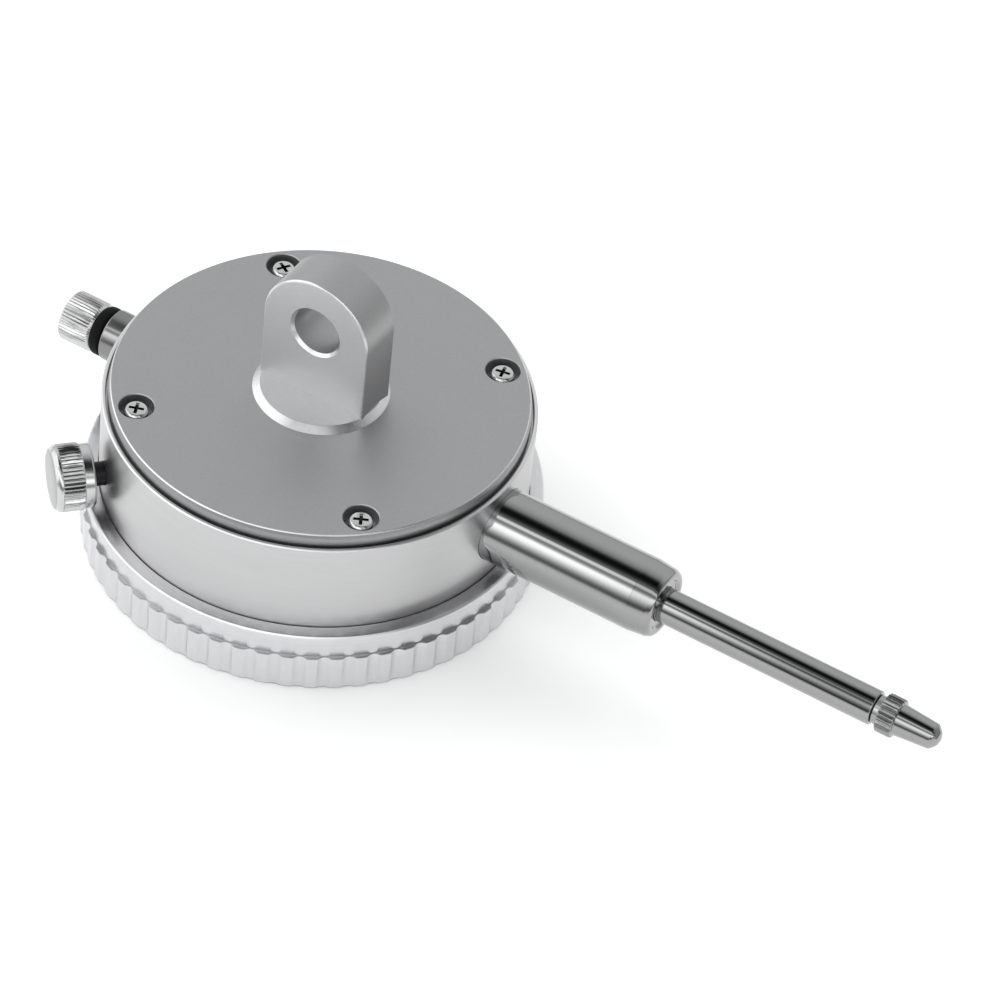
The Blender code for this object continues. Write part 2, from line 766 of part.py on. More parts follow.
def build_guide(mat, steel):
    """The slotted block that keeps the plunger from turning."""
    end = GUIDE_PIN_X - TRAVEL - GUIDE_PIN_R
    foot_top = 12.4
    bm = bmesh.new()
    add_box(bm, (end - 2.0, -6.6, FOOT_Z), (7.8, -3.6, 18.2))
    guide = finish(bm, "guide_block", mat)
    foot = bmesh.new()
    add_box(foot, (-13.5, -10.0, FOOT_Z), (7.3, -5.0, foot_top))
    combine(guide, foot, "UNION")
    holes = bmesh.new()
    slot = 0.12 + GUIDE_PIN_R
    add_box(holes, (end - 0.6, -8, AXIS_Z - slot), (GUIDE_PIN_X + GUIDE_PIN_R + 0.6, -2, AXIS_Z + slot))
    for x, y in GUIDE_SCREWS:
        add_pin(holes, SMALL_SCREW[2], FOOT_Z - 0.75, foot_top + 1.6, 10, place(x, y))
    combine(guide, holes, "DIFFERENCE")
    under = foot_top + SCREW_GAP
    for k, (x, y) in enumerate(GUIDE_SCREWS, 1):
        build_screw(f"guide_screw_{k}", steel, place(x, y), SMALL_SCREW, 13.2, under, 10.3, 10)


def build_springs(steel, blue):
    foot = ARBOR_TIP_Z
    seat = WEB_BACK_Z + 0.05
    profile = ((0, foot), (0.5, foot), (0.5, seat), (0.9, seat), (0.9, 16.6), (0.6, 17.0), (0, 17.0))
    turned("spring_post", steel, profile, 12, place(SPRING_POST_X, SPRING_Y))

    pin_eye_r, post_eye_r, wire_r = 1.05, 1.2, 0.17
    coil_start, coil_end, coil_r, turns, per_turn = 7.6, 17.6, 1.25, 8, 9
    path = []
    for i in range(7):
        a = math.radians(-80 - 180 * i / 6)
        x = GUIDE_PIN_X + pin_eye_r * math.cos(a)
        path.append(Vector((x, SPRING_Y, AXIS_Z + pin_eye_r * math.sin(a))))
    for i in range(turns * per_turn + 1):
        a = math.pi / 2 + TAU * i / per_turn
        x = coil_start + (coil_end - coil_start) * i / (turns * per_turn)
        path.append(Vector((x, SPRING_Y + coil_r * math.cos(a), AXIS_Z + coil_r * math.sin(a))))
    for i in range(7):
        a = math.radians(100 - 200 * i / 6)
        x = SPRING_POST_X + post_eye_r * math.cos(a)
        path.append(Vector((x, SPRING_Y + post_eye_r * math.sin(a), AXIS_Z)))
    bm = bmesh.new()
    add_wire(bm, path, wire_r, 5)
    finish(bm, "return_spring", steel, sharp=80)

    bm = bmesh.new()
    rings = []
    turns, per_turn = 4, 14
    strip = ((-0.05, 8.7), (0.05, 8.7), (0.05, 9.1), (-0.05, 9.1))
    for i in range(turns * per_turn + 1):
        a = -math.pi / 2 + TAU * i / per_turn
        r = 1.3 + 3.4 * i / (turns * per_turn)
        ring = []
        for dr, z in strip:
            ring.append(Vector(((r + dr) * math.cos(a), (r + dr) * math.sin(a), z)))
        rings.append(ring)
    add_rings(bm, rings)
    finish(bm, "hairspring", blue, place(COUNTER_X, 0))

    profile = ((0, 8.5), (0.4, 8.5), (0.4, 9.95), (0, 9.95))
    turned("hairspring_stud", steel, profile, 10, place(COUNTER_X, -5.25))


def build_train(brass, steel, blue, pinion_steel):
    """Rack gear, rack pinion, centre pinion and counter gear, meshed at rest."""
    towards_centre = math.atan2(-RACK_ARBOR_Y, -RACK_ARBOR_X)
    wheel_step = TAU / WHEEL_TEETH
    centre_step = TAU / CENTRE_TEETH
    centre_phase = towards_centre + math.pi - centre_step / 2
    share = (0 - centre_phase) / centre_step % 1
    counter_phase = math.pi - (0.5 - share) * wheel_step

    def wheel(name, outline, low, high, arbor, count, matrix):
        """A toothed disc on an arbor, with five round windows."""
        bm = bmesh.new()
        add_prism(bm, outline, low, high)
        ob = finish(bm, name, brass, matrix)
        shaft = bmesh.new()
        add_turned(shaft, arbor, count, matrix)
        combine(ob, shaft, "UNION")
        cut = bmesh.new()
        for k in range(5):
            at = matrix @ Matrix.Rotation(TAU * k / 5, 4, "Z") @ place(6.2)
            add_pin(cut, 2.2, low - 0.3, high + 0.3, 12, at)
        combine(ob, cut, "DIFFERENCE")

    arbor = (
        (0, ARBOR_TIP_Z),
        (ARBOR_R, ARBOR_TIP_Z),
        (ARBOR_R, WEB_BACK_Z + 0.1),
        (0.8, WEB_BACK_Z + 0.1),
        (0.8, RACK_GEAR_Z[0] - 0.3),
        (1.6, RACK_GEAR_Z[0] - 0.3),
        (1.6, RACK_GEAR_Z[1] + 0.3),
        (0.8, RACK_GEAR_Z[1] + 0.3),
        (0.8, 16.6),
        (ARBOR_R, 16.6),
        (ARBOR_R, 18.7),
        (0, 18.7),
    )
    at = place(RACK_ARBOR_X, RACK_ARBOR_Y)
    wheel("rack_gear", wheel_outline(WHEEL_TEETH, towards_centre), *RACK_GEAR_Z, arbor, 14, at)

    bm = bmesh.new()
    step = TAU / RACK_PINION_TEETH
    outline = wheel_outline(RACK_PINION_TEETH, -math.pi / 2 - step / 2)
    add_prism(bm, outline, AXIS_Z - RACK_PINION_HALF_LENGTH, AXIS_Z + RACK_PINION_HALF_LENGTH)
    pinion = finish(bm, "rack_pinion", pinion_steel, at)
    bore = bmesh.new()
    add_pin(bore, 0.85, AXIS_Z - 2, AXIS_Z + 2, 14, at)
    combine(pinion, bore, "DIFFERENCE")

    bearing_top = BRIDGE_Z[1] - 0.1
    nose_r = 0.4
    nose_z = WEB_FRONT_Z - 0.5
    outline = leaf_outline(CENTRE_TEETH, CENTRE_TEETH * MODULE / 2, centre_phase)
    bm = bmesh.new()
    add_prism(bm, outline, *CENTRE_PINION_Z)
    ob = finish(bm, "centre_pinion", pinion_steel, place())
    shaft = bmesh.new()
    arbor = (
        (0, 1.95),
        (nose_r, 1.95),
        (nose_r, nose_z),
        (ARBOR_R, nose_z),
        (ARBOR_R, bearing_top),
        (0, bearing_top),
    )
    add_turned(shaft, arbor, 12)
    combine(ob, shaft, "UNION")

    collar = (COUNTER_GEAR_Z[1] + 0.7, COUNTER_GEAR_Z[1] + 1.6)
    arbor = (
        (0, 2.5),
        (nose_r, 2.5),
        (nose_r, nose_z),
        (ARBOR_R, nose_z),
        (ARBOR_R, collar[0]),
        (1.1, collar[0]),
        (1.1, collar[1]),
        (ARBOR_R, collar[1]),
        (ARBOR_R, bearing_top),
        (0, bearing_top),
    )
    outline = wheel_outline(WHEEL_TEETH, counter_phase)
    wheel("counter_gear", outline, *COUNTER_GEAR_Z, arbor, 12, place(COUNTER_X, 0))

    def hand(name, outline, low, high, hub, matrix):
        blade = bmesh.new()
        add_prism(blade, outline, low, high)
        ob = finish(blade, name, blue, matrix)
        hub_r, front, back = hub
        boss = bmesh.new()
        add_pin(boss, hub_r, front, back, 16, matrix)
        combine(ob, boss, "UNION")
        eye = bmesh.new()
        add_pin(eye, nose_r + 0.05, front - 1, back + 1, 12, matrix)
        combine(ob, eye, "DIFFERENCE")

    right = ((0.9, -6.0), (0.55, -1.0), (0.6, 2.0), (0.12, 21.5))
    outline = right + tuple((-x, y) for x, y in reversed(right))
    hand("main_pointer", outline, 2.15, 2.35, (1.3, 1.95, 2.9), place())
    right = ((0.35, -1.8), (0.3, 1.0), (0.08, 4.2))
    outline = right + tuple((-x, y) for x, y in reversed(right))
    hand("counter_hand", outline, 2.5, 2.68, (0.85, 2.45, 3.3), place(COUNTER_X, 0))


def build_clamp(chrome, brass):
    teeth = 28
    count = 2 * teeth
    at = along_radius(CLAMP_ANGLE, CLAMP_Z)
    knurl_in, knurl_out = KNOB_KNURL
    root = KNOB_R - KNOB_KNURL_DEPTH
    rings = [
        [Vector((0, 0, 22.0))],
        circle(CLAMP_SHANK_R, 22.0, count),
        circle(CLAMP_SHANK_R, KNOB_IN_R, count),
        circle(KNOB_COLLAR_R - 0.25, KNOB_IN_R, count),
        circle(KNOB_COLLAR_R, KNOB_IN_R + 0.25, count),
        circle(KNOB_COLLAR_R, knurl_in - 0.2, count),
        star(KNOB_R, root, knurl_in, teeth),
        star(KNOB_R, root, knurl_out, teeth),
        circle(KNOB_R - 0.02, knurl_out + 0.4, count),
        circle(KNOB_R - 0.45, knurl_out + 0.95, count),
        circle(KNOB_R - 1.2, KNOB_OUT_R, count),
        [Vector((0, 0, KNOB_OUT_R))],
    ]
    bm = bmesh.new()
    add_rings(bm, rings)
    finish(bm, "clamp_knob", chrome, at)

    turn = Matrix.Rotation(CLAMP_ANGLE, 4, "Z")
    inner, outer, tongue = 22.4, 24.7, 26.78
    tongue_low, tongue_high = SHOE_TONGUE_Z
    side = (
        (inner, tongue_low),
        (tongue, tongue_low),
        (tongue, tongue_high),
        (outer, tongue_high),
        (outer, SHOE_TOP_Z),
        (inner, SHOE_TOP_Z),
    )
    bm = bmesh.new()
    rings = [[Vector((r, w, z)) for r, z in side] for w in (-1.5, 1.5)]
    add_rings(bm, rings)
    shoe = finish(bm, "clamp_shoe", brass, turn)
    sides = bmesh.new()
    for sign in (-1, 1):
        low, high = sorted((sign * 1.4, sign * 2.4))
        add_box(sides, (inner, low, 10.4), (outer - 0.05, high, SHOE_TOP_Z - 0.1), turn)
    combine(shoe, sides, "UNION")
    hole = bmesh.new()
    add_pin(hole, CLAMP_HOLE_R, 21, 25, 14, at)
    combine(shoe, hole, "DIFFERENCE")


def main():
    clear_scene()
    aluminium = material("cast_aluminium", (0.62, 0.62, 0.63), 0.42, 1.0)
    bright = material("turned_aluminium", (0.82, 0.82, 0.84), 0.25, 1.0)
    steel = material("ground_steel", (0.62, 0.62, 0.63), 0.16, 1.0)
    chrome = material("polished_nickel", (0.78, 0.78, 0.78), 0.10, 1.0)
    brass = material("brass", (0.72, 0.53, 0.22), 0.28, 1.0)
    blue = material("blued_steel", (0.03, 0.04, 0.07), 0.30, 1.0)
    white = material("dial_white", (0.86, 0.86, 0.83), 0.55, 0.0)
    black = material("black_rubber", (0.012, 0.012, 0.012), 0.60, 0.0)
    clear = material("crystal_clear", (0.92, 0.95, 0.96), 0.04, 0.0)
    build_case(aluminium)
    build_cover(aluminium)
    build_cover_screws(chrome)
    build_stem(steel)
    build_bushing(chrome)
    build_rod(steel)
    build_plunger_fittings(steel, chrome, black)
    build_bezel(bright)
    build_dial(white, clear, steel)
    build_snap_wire(steel)
    build_bridge(brass, steel)
    build_rack_cock(brass, steel)
    build_guide(brass, steel)
    build_springs(steel, blue)
    build_train(brass, steel, blue, steel)
    build_clamp(chrome, brass)


main()
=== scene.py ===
"""Looks of a dial indicator lying face down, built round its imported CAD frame.

Lengths in this file are in millimetres unless a name says otherwise, and become metres when a mesh is made.
+Z runs from the dial face to the back cover and +X runs along the plunger towards the contact point.
"""

import json
import math

import bmesh
import bpy
from mathutils import Matrix, Vector


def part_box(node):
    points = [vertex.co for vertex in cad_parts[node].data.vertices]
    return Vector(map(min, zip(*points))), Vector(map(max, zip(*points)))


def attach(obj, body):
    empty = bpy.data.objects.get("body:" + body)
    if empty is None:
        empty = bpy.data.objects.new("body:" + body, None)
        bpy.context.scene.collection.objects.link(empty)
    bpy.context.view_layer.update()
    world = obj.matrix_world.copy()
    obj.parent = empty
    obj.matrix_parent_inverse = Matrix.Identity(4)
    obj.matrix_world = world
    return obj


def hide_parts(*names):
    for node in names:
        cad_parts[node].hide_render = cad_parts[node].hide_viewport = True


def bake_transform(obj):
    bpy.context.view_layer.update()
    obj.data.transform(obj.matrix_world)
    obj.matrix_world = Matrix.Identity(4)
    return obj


MM = 0.001
WELD_M = 4e-7
TAU = 2 * math.pi

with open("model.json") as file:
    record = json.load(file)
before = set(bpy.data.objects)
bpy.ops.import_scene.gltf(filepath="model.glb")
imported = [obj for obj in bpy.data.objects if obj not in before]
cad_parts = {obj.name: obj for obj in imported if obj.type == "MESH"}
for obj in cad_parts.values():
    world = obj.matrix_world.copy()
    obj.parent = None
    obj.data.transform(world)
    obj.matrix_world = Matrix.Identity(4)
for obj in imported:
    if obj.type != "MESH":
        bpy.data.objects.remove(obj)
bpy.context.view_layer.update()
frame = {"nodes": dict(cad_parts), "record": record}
body_of = {}
for body, members in frame["record"]["behaviour"]["bodies"].items():
    for member in members:
        body_of[member] = body


def span(node):
    low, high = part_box(node)
    return low / MM, high / MM


case_low, case_high = span("case")
rod_low, rod_high = span("plunger_rod")
stem_low, stem_high = span("stem")
bushing_low, bushing_high = span("upper_bushing")
buffer_low, buffer_high = span("buffer_ring")
cap_low, cap_high = span("top_cap")
contact_low, contact_high = span("contact_point")
cover_low, cover_high = span("back_cover")
bezel_low, bezel_high = span("bezel")
crystal_low, crystal_high = span("crystal")
ring_low, ring_high = span("dial_ring")
dial_low, dial_high = span("inner_dial")
pin_low, pin_high = span("guide_pin")
post_low, post_high = span("spring_post")
rack_low, rack_high = span("rack_pinion")
knob_low, knob_high = span("clamp_knob")
mounts = {mount["name"]: Vector(mount["pos_m"]) / MM for mount in frame["record"]["mounts"]}

AXIS_Z = (rod_low.z + rod_high.z) / 2
ROD_R = (rod_high.z - rod_low.z) / 2
STEM_R = (stem_high.z - stem_low.z) / 2
CASE_R = (case_high.x - case_low.x) / 2
CASE_RIM_Z = case_high.z
COVER_R = (cover_high.x - cover_low.x) / 2
CASE_BORE_R = 25.0
WEB_TOP_Z = 6.0
SHELF_Z = 20.6
SNAP_GROOVE_R = 26.25
SNAP_GROOVE_Z = (6.8, 7.6)
COVER_TOP_Z = 23.15
RIM_INNER_R = COVER_R + 0.30
BEZEL_R = (bezel_high.x - bezel_low.x) / 2
CRYSTAL_R = (crystal_high.x - crystal_low.x) / 2
COUNTER_X = (span("hairspring")[0].x + span("hairspring")[1].x) / 2
BORE_R = ROD_R + 0.075
SCREW_CIRCLE_R = 23.02
SCREW_ANGLES = tuple(math.radians(45 + 90 * k) for k in range(4))
SCREW_TWISTS = (12, -31, 22, 28)
COUNTERBORE_R = 2.2
COUNTERBORE_Z = 21.15
SCREW_HOLE_R = 1.06
LUG_BOSS_R = 8.5
LUG_BOSS_TOP_R = 7.62
LUG_BOSS_TOP_Z = COVER_TOP_Z + 0.78
LUG_HALF_WIDTH = 7.45
LUG_FRONT_Y = mounts["lug_face_3_oclock"].y
LUG_BACK_Y = mounts["lug_face_9_oclock"].y
LUG_HOLE_Z = cover_high.z - LUG_HALF_WIDTH
LUG_HOLE_R = 3.175
CLAMP_ANGLE = math.radians(226.3)
CLAMP_Z = (knob_low.z + knob_high.z) / 2
RACK_PITCH = 0.635
RACK_TEETH = 48
FLUTES = 60
LEDGE_Z = 5.18


# ---------------------------------------------------------------- mesh helpers


def place(x=0.0, y=0.0, z=0.0):
    return Matrix.Translation((x, y, z))


def along_x():
    """A frame on the plunger line whose own +Z is the world's +X."""
    return place(0, 0, AXIS_Z) @ Matrix.Rotation(math.pi / 2, 4, "Y")


def along_radius(angle, z):
    """A frame whose own +Z points outwards from the case at the given angle."""
    return place(0, 0, z) @ Matrix.Rotation(angle, 4, "Z") @ Matrix.Rotation(math.pi / 2, 4, "Y")


def soften(corners, steps=4, closed=False):
    """Rounds the corners of a profile. A corner is (radius, height) or (radius, height, fillet)."""
    out = []
    count = len(corners)
    for i, corner in enumerate(corners):
        fillet = corner[2] if len(corner) > 2 else 0
        if fillet == 0 or (not closed and i in (0, count - 1)):
            out.append((corner[0], corner[1]))
            continue
        at = Vector(corner[:2])
        before = Vector(corners[i - 1][:2]) - at
        after = Vector(corners[(i + 1) % count][:2]) - at
        half = before.angle(after) / 2
        reach = min(fillet / math.tan(half), 0.49 * before.length, 0.49 * after.length)
        radius = reach * math.tan(half)
        middle = (before.normalized() + after.normalized()).normalized()
        centre = at + middle * (radius / math.sin(half))
        first = at + before.normalized() * reach - centre
        last = at + after.normalized() * reach - centre
        start = math.atan2(first.y, first.x)
        turn = (math.atan2(last.y, last.x) - start + math.pi) % TAU - math.pi
        for k in range(steps + 1):
            a = start + turn * k / steps
            out.append((centre.x + radius * math.cos(a), centre.y + radius * math.sin(a)))
    return out


def add_rings(bm, rings, matrix=None, closed=False):
    """Joins rings of points into one skin. A ring of one point closes that end."""
    made = []
    for ring in rings:
        made.append([bm.verts.new(matrix @ p if matrix else p) for p in ring])
    pairs = list(zip(made, made[1:]))
    if closed:
        pairs.append((made[-1], made[0]))
    for low, high in pairs:
        for i in range(max(len(low), len(high))):
            j = (i + 1) % max(len(low), len(high))
            if len(low) == 1:
                bm.faces.new((low[0], high[i], high[j]))
            elif len(high) == 1:
                bm.faces.new((low[i], low[j], high[0]))
            else:
                bm.faces.new((low[i], low[j], high[j], high[i]))
    if not closed:
        for ring in (made[0], made[-1]):
            if len(ring) > 1:
                bm.faces.new(ring)


def add_lathe(bm, profile, count, matrix=None, closed=False, shape=None):
    """Turns a profile of (radius, height) pairs about Z.

    shape(angle, radius, height) may change the radius.
    """
    profile = list(profile)
    if not closed:
        if profile[0][0] == 0 and profile[0][1] == profile[1][1]:
            profile.pop(0)
        if profile[-1][0] == 0 and profile[-1][1] == profile[-2][1]:
            profile.pop()
    rings = []
    for radius, height in profile:
        if radius == 0:
            rings.append([Vector((0, 0, height))])
            continue
        ring = []
        for i in range(count):
            a = TAU * i / count
            r = shape(a, radius, height) if shape else radius
            ring.append(Vector((r * math.cos(a), r * math.sin(a), height)))
        rings.append(ring)
    add_rings(bm, rings, matrix, closed)


def add_prism(bm, outline, low, high, matrix=None):
    add_rings(bm, [[Vector((x, y, z)) for x, y in outline] for z in (low, high)], matrix)


def add_box(bm, low, high, matrix=None):
    outline = ((low[0], low[1]), (high[0], low[1]), (high[0], high[1]), (low[0], high[1]))
    add_prism(bm, outline, low[2], high[2], matrix)


def make(bm, name):
    bmesh.ops.recalc_face_normals(bm, faces=bm.faces)
    bmesh.ops.scale(bm, vec=(MM, MM, MM), verts=bm.verts)
    mesh = bpy.data.meshes.new(name)
    bm.to_mesh(mesh)
    bm.free()
    ob = bpy.data.objects.new(name, mesh)
    bpy.context.scene.collection.objects.link(ob)
    return ob


def boolean(target, bm, operation):
    """Joins or cuts a target with the solids in bm, and keeps only the result."""
    tool = make(bm, target.name + "_tool")
    modifier = target.modifiers.new("boolean", "BOOLEAN")
    modifier.object = tool
    modifier.operation = operation
    modifier.solver = "EXACT"
    bpy.context.view_layer.update()
    result = target.evaluated_get(bpy.context.evaluated_depsgraph_get())
    mesh = bpy.data.meshes.new_from_object(result)
    target.modifiers.clear()
    target.data = mesh
    bpy.data.objects.remove(tool)
    clean = bmesh.new()
    clean.from_mesh(mesh)
    bmesh.ops.remove_doubles(clean, verts=clean.verts, dist=WELD_M)
    clean.to_mesh(mesh)
    clean.free()


def post(target, operation, radius, low, high, count, matrix):
    """Adds or drills one plain round bar along the matrix's own Z."""
    bm = bmesh.new()
    add_lathe(bm, ((0, low), (radius, low), (radius, high), (0, high)), count, matrix)
    boolean(target, bm, operation)


def axis_of(node):
    """Where the upright axis of a round CAD node stands."""
    low, high = span(node)
    return place((low.x + high.x) / 2, (low.y + high.y) / 2)


def dress(ob, mats, node, sharp=30):
    """Gives a piece its materials and smooth normals, and puts it in the place of its CAD node."""
    mesh = ob.data
    mesh.materials.clear()
    for mat in mats if isinstance(mats, (list, tuple)) else (mats,):
        mesh.materials.append(mat)
    mesh.shade_smooth()
    mesh.set_sharp_from_angle(angle=math.radians(sharp))
    normals = ob.modifiers.new("normals", "WEIGHTED_NORMAL")
    normals.keep_sharp = True
    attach(ob, body_of[node])
    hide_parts(node)
    return ob


def tag(ob, index, test):
    """Gives a second material to the faces that pass a test of (centre in mm, normal)."""
    for face in ob.data.polygons:
        if test(face.center / MM, face.normal):
            face.material_index = index


# ---------------------------------------------------------------- materials


def new_material(name):
    mat = bpy.data.materials.new(name)
    mat.use_nodes = True
    return mat, mat.node_tree, mat.node_tree.nodes["Principled BSDF"]


def add_node(tree, kind, **values):
    item = tree.nodes.new(kind)
    for key, value in values.items():
        setattr(item, key, value)
    return item


def wire(tree, source, target):
    tree.links.new(source, target)


def maths(tree, operation, first, second=None):
    item = add_node(tree, "ShaderNodeMath", operation=operation)
    for slot, value in enumerate((first, second)):
        if value is None:
            continue
        if isinstance(value, (int, float)):
            item.inputs[slot].default_value = value
        else:
            wire(tree, value, item.inputs[slot])
    return item.outputs[0]


def remap(tree, value, low, high, to_low, to_high):
    item = add_node(tree, "ShaderNodeMapRange")
    wire(tree, value, item.inputs["Value"])
    for key, number in (("From Min", low), ("From Max", high), ("To Min", to_low), ("To Max", to_high)):
        item.inputs[key].default_value = number
    return item.outputs["Result"]


def coordinates(tree, kind):
    """Object coordinates, or ones that run along the tool marks of a turned surface."""
    place_node = add_node(tree, "ShaderNodeTexCoord")
    if kind == "solid":
        return place_node.outputs["Object"]
    split = add_node(tree, "ShaderNodeSeparateXYZ")
    wire(tree, place_node.outputs["Object"], split.inputs[0])
    x, y, z = split.outputs
    join = add_node(tree, "ShaderNodeCombineXYZ")
    if kind == "about_z":
        squares = maths(tree, "ADD", maths(tree, "MULTIPLY", x, x), maths(tree, "MULTIPLY", y, y))
        wire(tree, maths(tree, "SQRT", squares), join.inputs[0])
        wire(tree, z, join.inputs[1])
        wire(tree, maths(tree, "MULTIPLY", maths(tree, "ARCTAN2", y, x), 0.0015), join.inputs[2])
    else:
        wire(tree, x, join.inputs[0])
        wire(tree, maths(tree, "MULTIPLY", y, 0.05), join.inputs[1])
        wire(tree, maths(tree, "MULTIPLY", z, 0.05), join.inputs[2])
    return join.outputs[0]


def noise(tree, vector, scale, detail=3.0):
    item = add_node(tree, "ShaderNodeTexNoise")
    wire(tree, vector, item.inputs["Vector"])
    item.inputs["Scale"].default_value = scale
    item.inputs["Detail"].default_value = detail
    item.inputs["Roughness"].default_value = 0.55
    return item.outputs["Fac"]


def relief(tree, shader, height, depth):
    bump = add_node(tree, "ShaderNodeBump")
    bump.inputs["Strength"].default_value = 1.0
    bump.inputs["Distance"].default_value = depth * MM
    wire(tree, height, bump.inputs["Height"])
    wire(tree, bump.outputs[0], shader.inputs["Normal"])


def tinted(tree, shader, colour, value):
    scale = add_node(tree, "ShaderNodeVectorMath", operation="SCALE")
    scale.inputs[0].default_value = colour
    wire(tree, value, scale.inputs["Scale"])
    wire(tree, scale.outputs[0], shader.inputs["Base Color"])


def metal(name, colour, rough, grain, depth, kind="solid", tint=0.05, spread=0.06):
    """A metal finish: fine grain or tool marks in relief and patchy roughness."""
    mat, tree, shader = new_material(name)
    shader.inputs["Metallic"].default_value = 1.0
    vector = coordinates(tree, kind)
    plain = coordinates(tree, "solid")
    fine = noise(tree, vector, grain)
    patches = noise(tree, plain, 180.0, 4.0)
    grained = remap(tree, fine, 0.3, 0.7, -tint, tint)
    patchy = remap(tree, patches, 0.35, 0.65, -tint / 2, tint / 2)
    value = maths(tree, "ADD", maths(tree, "ADD", grained, patchy), 1.0)
    sheen = remap(tree, patches, 0.3, 0.7, rough - spread / 2, rough + spread / 2)
    roughness = maths(tree, "ADD", sheen, remap(tree, fine, 0.3, 0.7, -spread / 3, spread / 3))
    wire(tree, maths(tree, "MAXIMUM", roughness, 0.02), shader.inputs["Roughness"])
    tinted(tree, shader, colour, value)
    relief(tree, shader, fine, depth)
    return mat


def plain_finish(name, colour, rough, grain, depth, tint=0.04, coat=0.0, specular=0.5):
    """Paint, print or rubber: a fine texture with patchy sheen."""
    mat, tree, shader = new_material(name)
    shader.inputs["Specular IOR Level"].default_value = specular
    vector = coordinates(tree, "solid")
    fine = noise(tree, vector, grain)
    patches = noise(tree, vector, 150.0, 4.0)
    tinted(tree, shader, colour, maths(tree, "ADD", remap(tree, patches, 0.3, 0.7, -tint, tint), 1.0))
    wire(tree, remap(tree, fine, 0.3, 0.7, rough - 0.04, rough + 0.04), shader.inputs["Roughness"])
    shader.inputs["Coat Weight"].default_value = coat
    relief(tree, shader, fine, depth)
    return mat


def crystal_finish():
    mat, tree, shader = new_material("crystal_clear")
    shader.inputs["Base Color"].default_value = (0.97, 0.99, 0.99, 1.0)
    shader.inputs["Transmission Weight"].default_value = 1.0
    shader.inputs["IOR"].default_value = 1.49
    scuffs = noise(tree, coordinates(tree, "solid"), 400.0, 5.0)
    wire(tree, remap(tree, scuffs, 0.4, 0.75, 0.01, 0.05), shader.inputs["Roughness"])
    return mat


BLASTED = metal("cast_aluminium", (0.465, 0.465, 0.47), 0.46, 2600.0, 0.006, tint=0.035, spread=0.05)
WALL = metal("satin_aluminium", (0.57, 0.57, 0.575), 0.34, 1800.0, 0.002, kind="about_z", tint=0.02)
EAR = metal("milled_aluminium", (0.72, 0.72, 0.725), 0.40, 2400.0, 0.003, tint=0.02)
PAD = metal("filed_aluminium", (0.64, 0.64, 0.645), 0.44, 2400.0, 0.004, tint=0.03)
RING = metal("skimmed_aluminium", (0.74, 0.74, 0.75), 0.30, 1500.0, 0.006, tint=0.06)
MACHINED = metal("machined_aluminium", (0.76, 0.76, 0.77), 0.30, 2200.0, 0.002, kind="about_z", tint=0.03)
TURNED = metal("turned_aluminium", (0.72, 0.72, 0.73), 0.30, 2600.0, 0.0015, kind="about_z",
               tint=0.03, spread=0.03)
RIBBED = metal("ribbed_aluminium", (0.70, 0.70, 0.71), 0.32, 900.0, 0.0006, tint=0.012, spread=0.03)
SLEEVE = metal("bright_sleeve", (0.25, 0.25, 0.25), 0.13, 2500.0, 0.0006, kind="along_x",
               tint=0.02, spread=0.03)
# A darker copy of the cast finish: painted shade on the cover's side, down in the gap under the case rim.
PAINTED_GAP_SHADE = metal("painted_gap_shade", (0.34, 0.34, 0.345), 0.42, 2600.0, 0.004, tint=0.03)
# Near black: painted shade for the cross recesses of the cover screws, and for the knob's shank and the back
# of its collar against the case wall.
PAINTED_SHADE_BLACK = metal("painted_shade_black", (0.035, 0.035, 0.037), 0.45, 2500.0, 0.003, tint=0.10)
# A darker copy of the turned finish: painted shade on the ledge under the bezel's neck and on the bevel at
# its foot.
PAINTED_SHADE_ALUMINIUM = metal("painted_shade_aluminium", (0.50, 0.50, 0.51), 0.33, 3200.0, 0.002, kind="about_z", tint=0.03)
STEEL = metal("ground_steel", (0.35, 0.35, 0.35), 0.065, 4000.0, 0.0003, kind="along_x", tint=0.02,
              spread=0.02)
DARK_STEEL = metal("machined_steel", (0.33, 0.33, 0.33), 0.24, 3000.0, 0.003, tint=0.08)
NICKEL = metal("polished_nickel", (0.60, 0.60, 0.60), 0.17, 2500.0, 0.001, tint=0.03, spread=0.04)
SATIN_NICKEL = metal("satin_nickel", (0.43, 0.43, 0.43), 0.30, 2500.0, 0.002, tint=0.03, spread=0.04)
BRASS = metal("brass", (0.62, 0.44, 0.17), 0.26, 1800.0, 0.003, tint=0.08)
BLUED = metal("blued_steel", (0.05, 0.07, 0.14), 0.24, 1500.0, 0.002, tint=0.15)
WHITE = plain_finish("dial_white", (0.86, 0.86, 0.83), 0.45, 5000.0, 0.001, tint=0.015)
PRINT = plain_finish("dial_print", (0.015, 0.015, 0.017), 0.40, 6000.0, 0.001, tint=0.10)
HAND_BLACK = plain_finish("hand_black", (0.012, 0.012, 0.013), 0.32, 3000.0, 0.001, coat=0.3)
RUBBER = plain_finish("black_rubber", (0.004, 0.004, 0.004), 0.60, 2500.0, 0.006, tint=0.15, specular=0.12)
CLEAR = crystal_finish()


# ---------------------------------------------------------------- case, cover and lug


def screw_places():
    """Where the four cover screws stand."""
    places = []
    for angle in SCREW_ANGLES:
        places.append(place(SCREW_CIRCLE_R * math.cos(angle), SCREW_CIRCLE_R * math.sin(angle)))
    return places


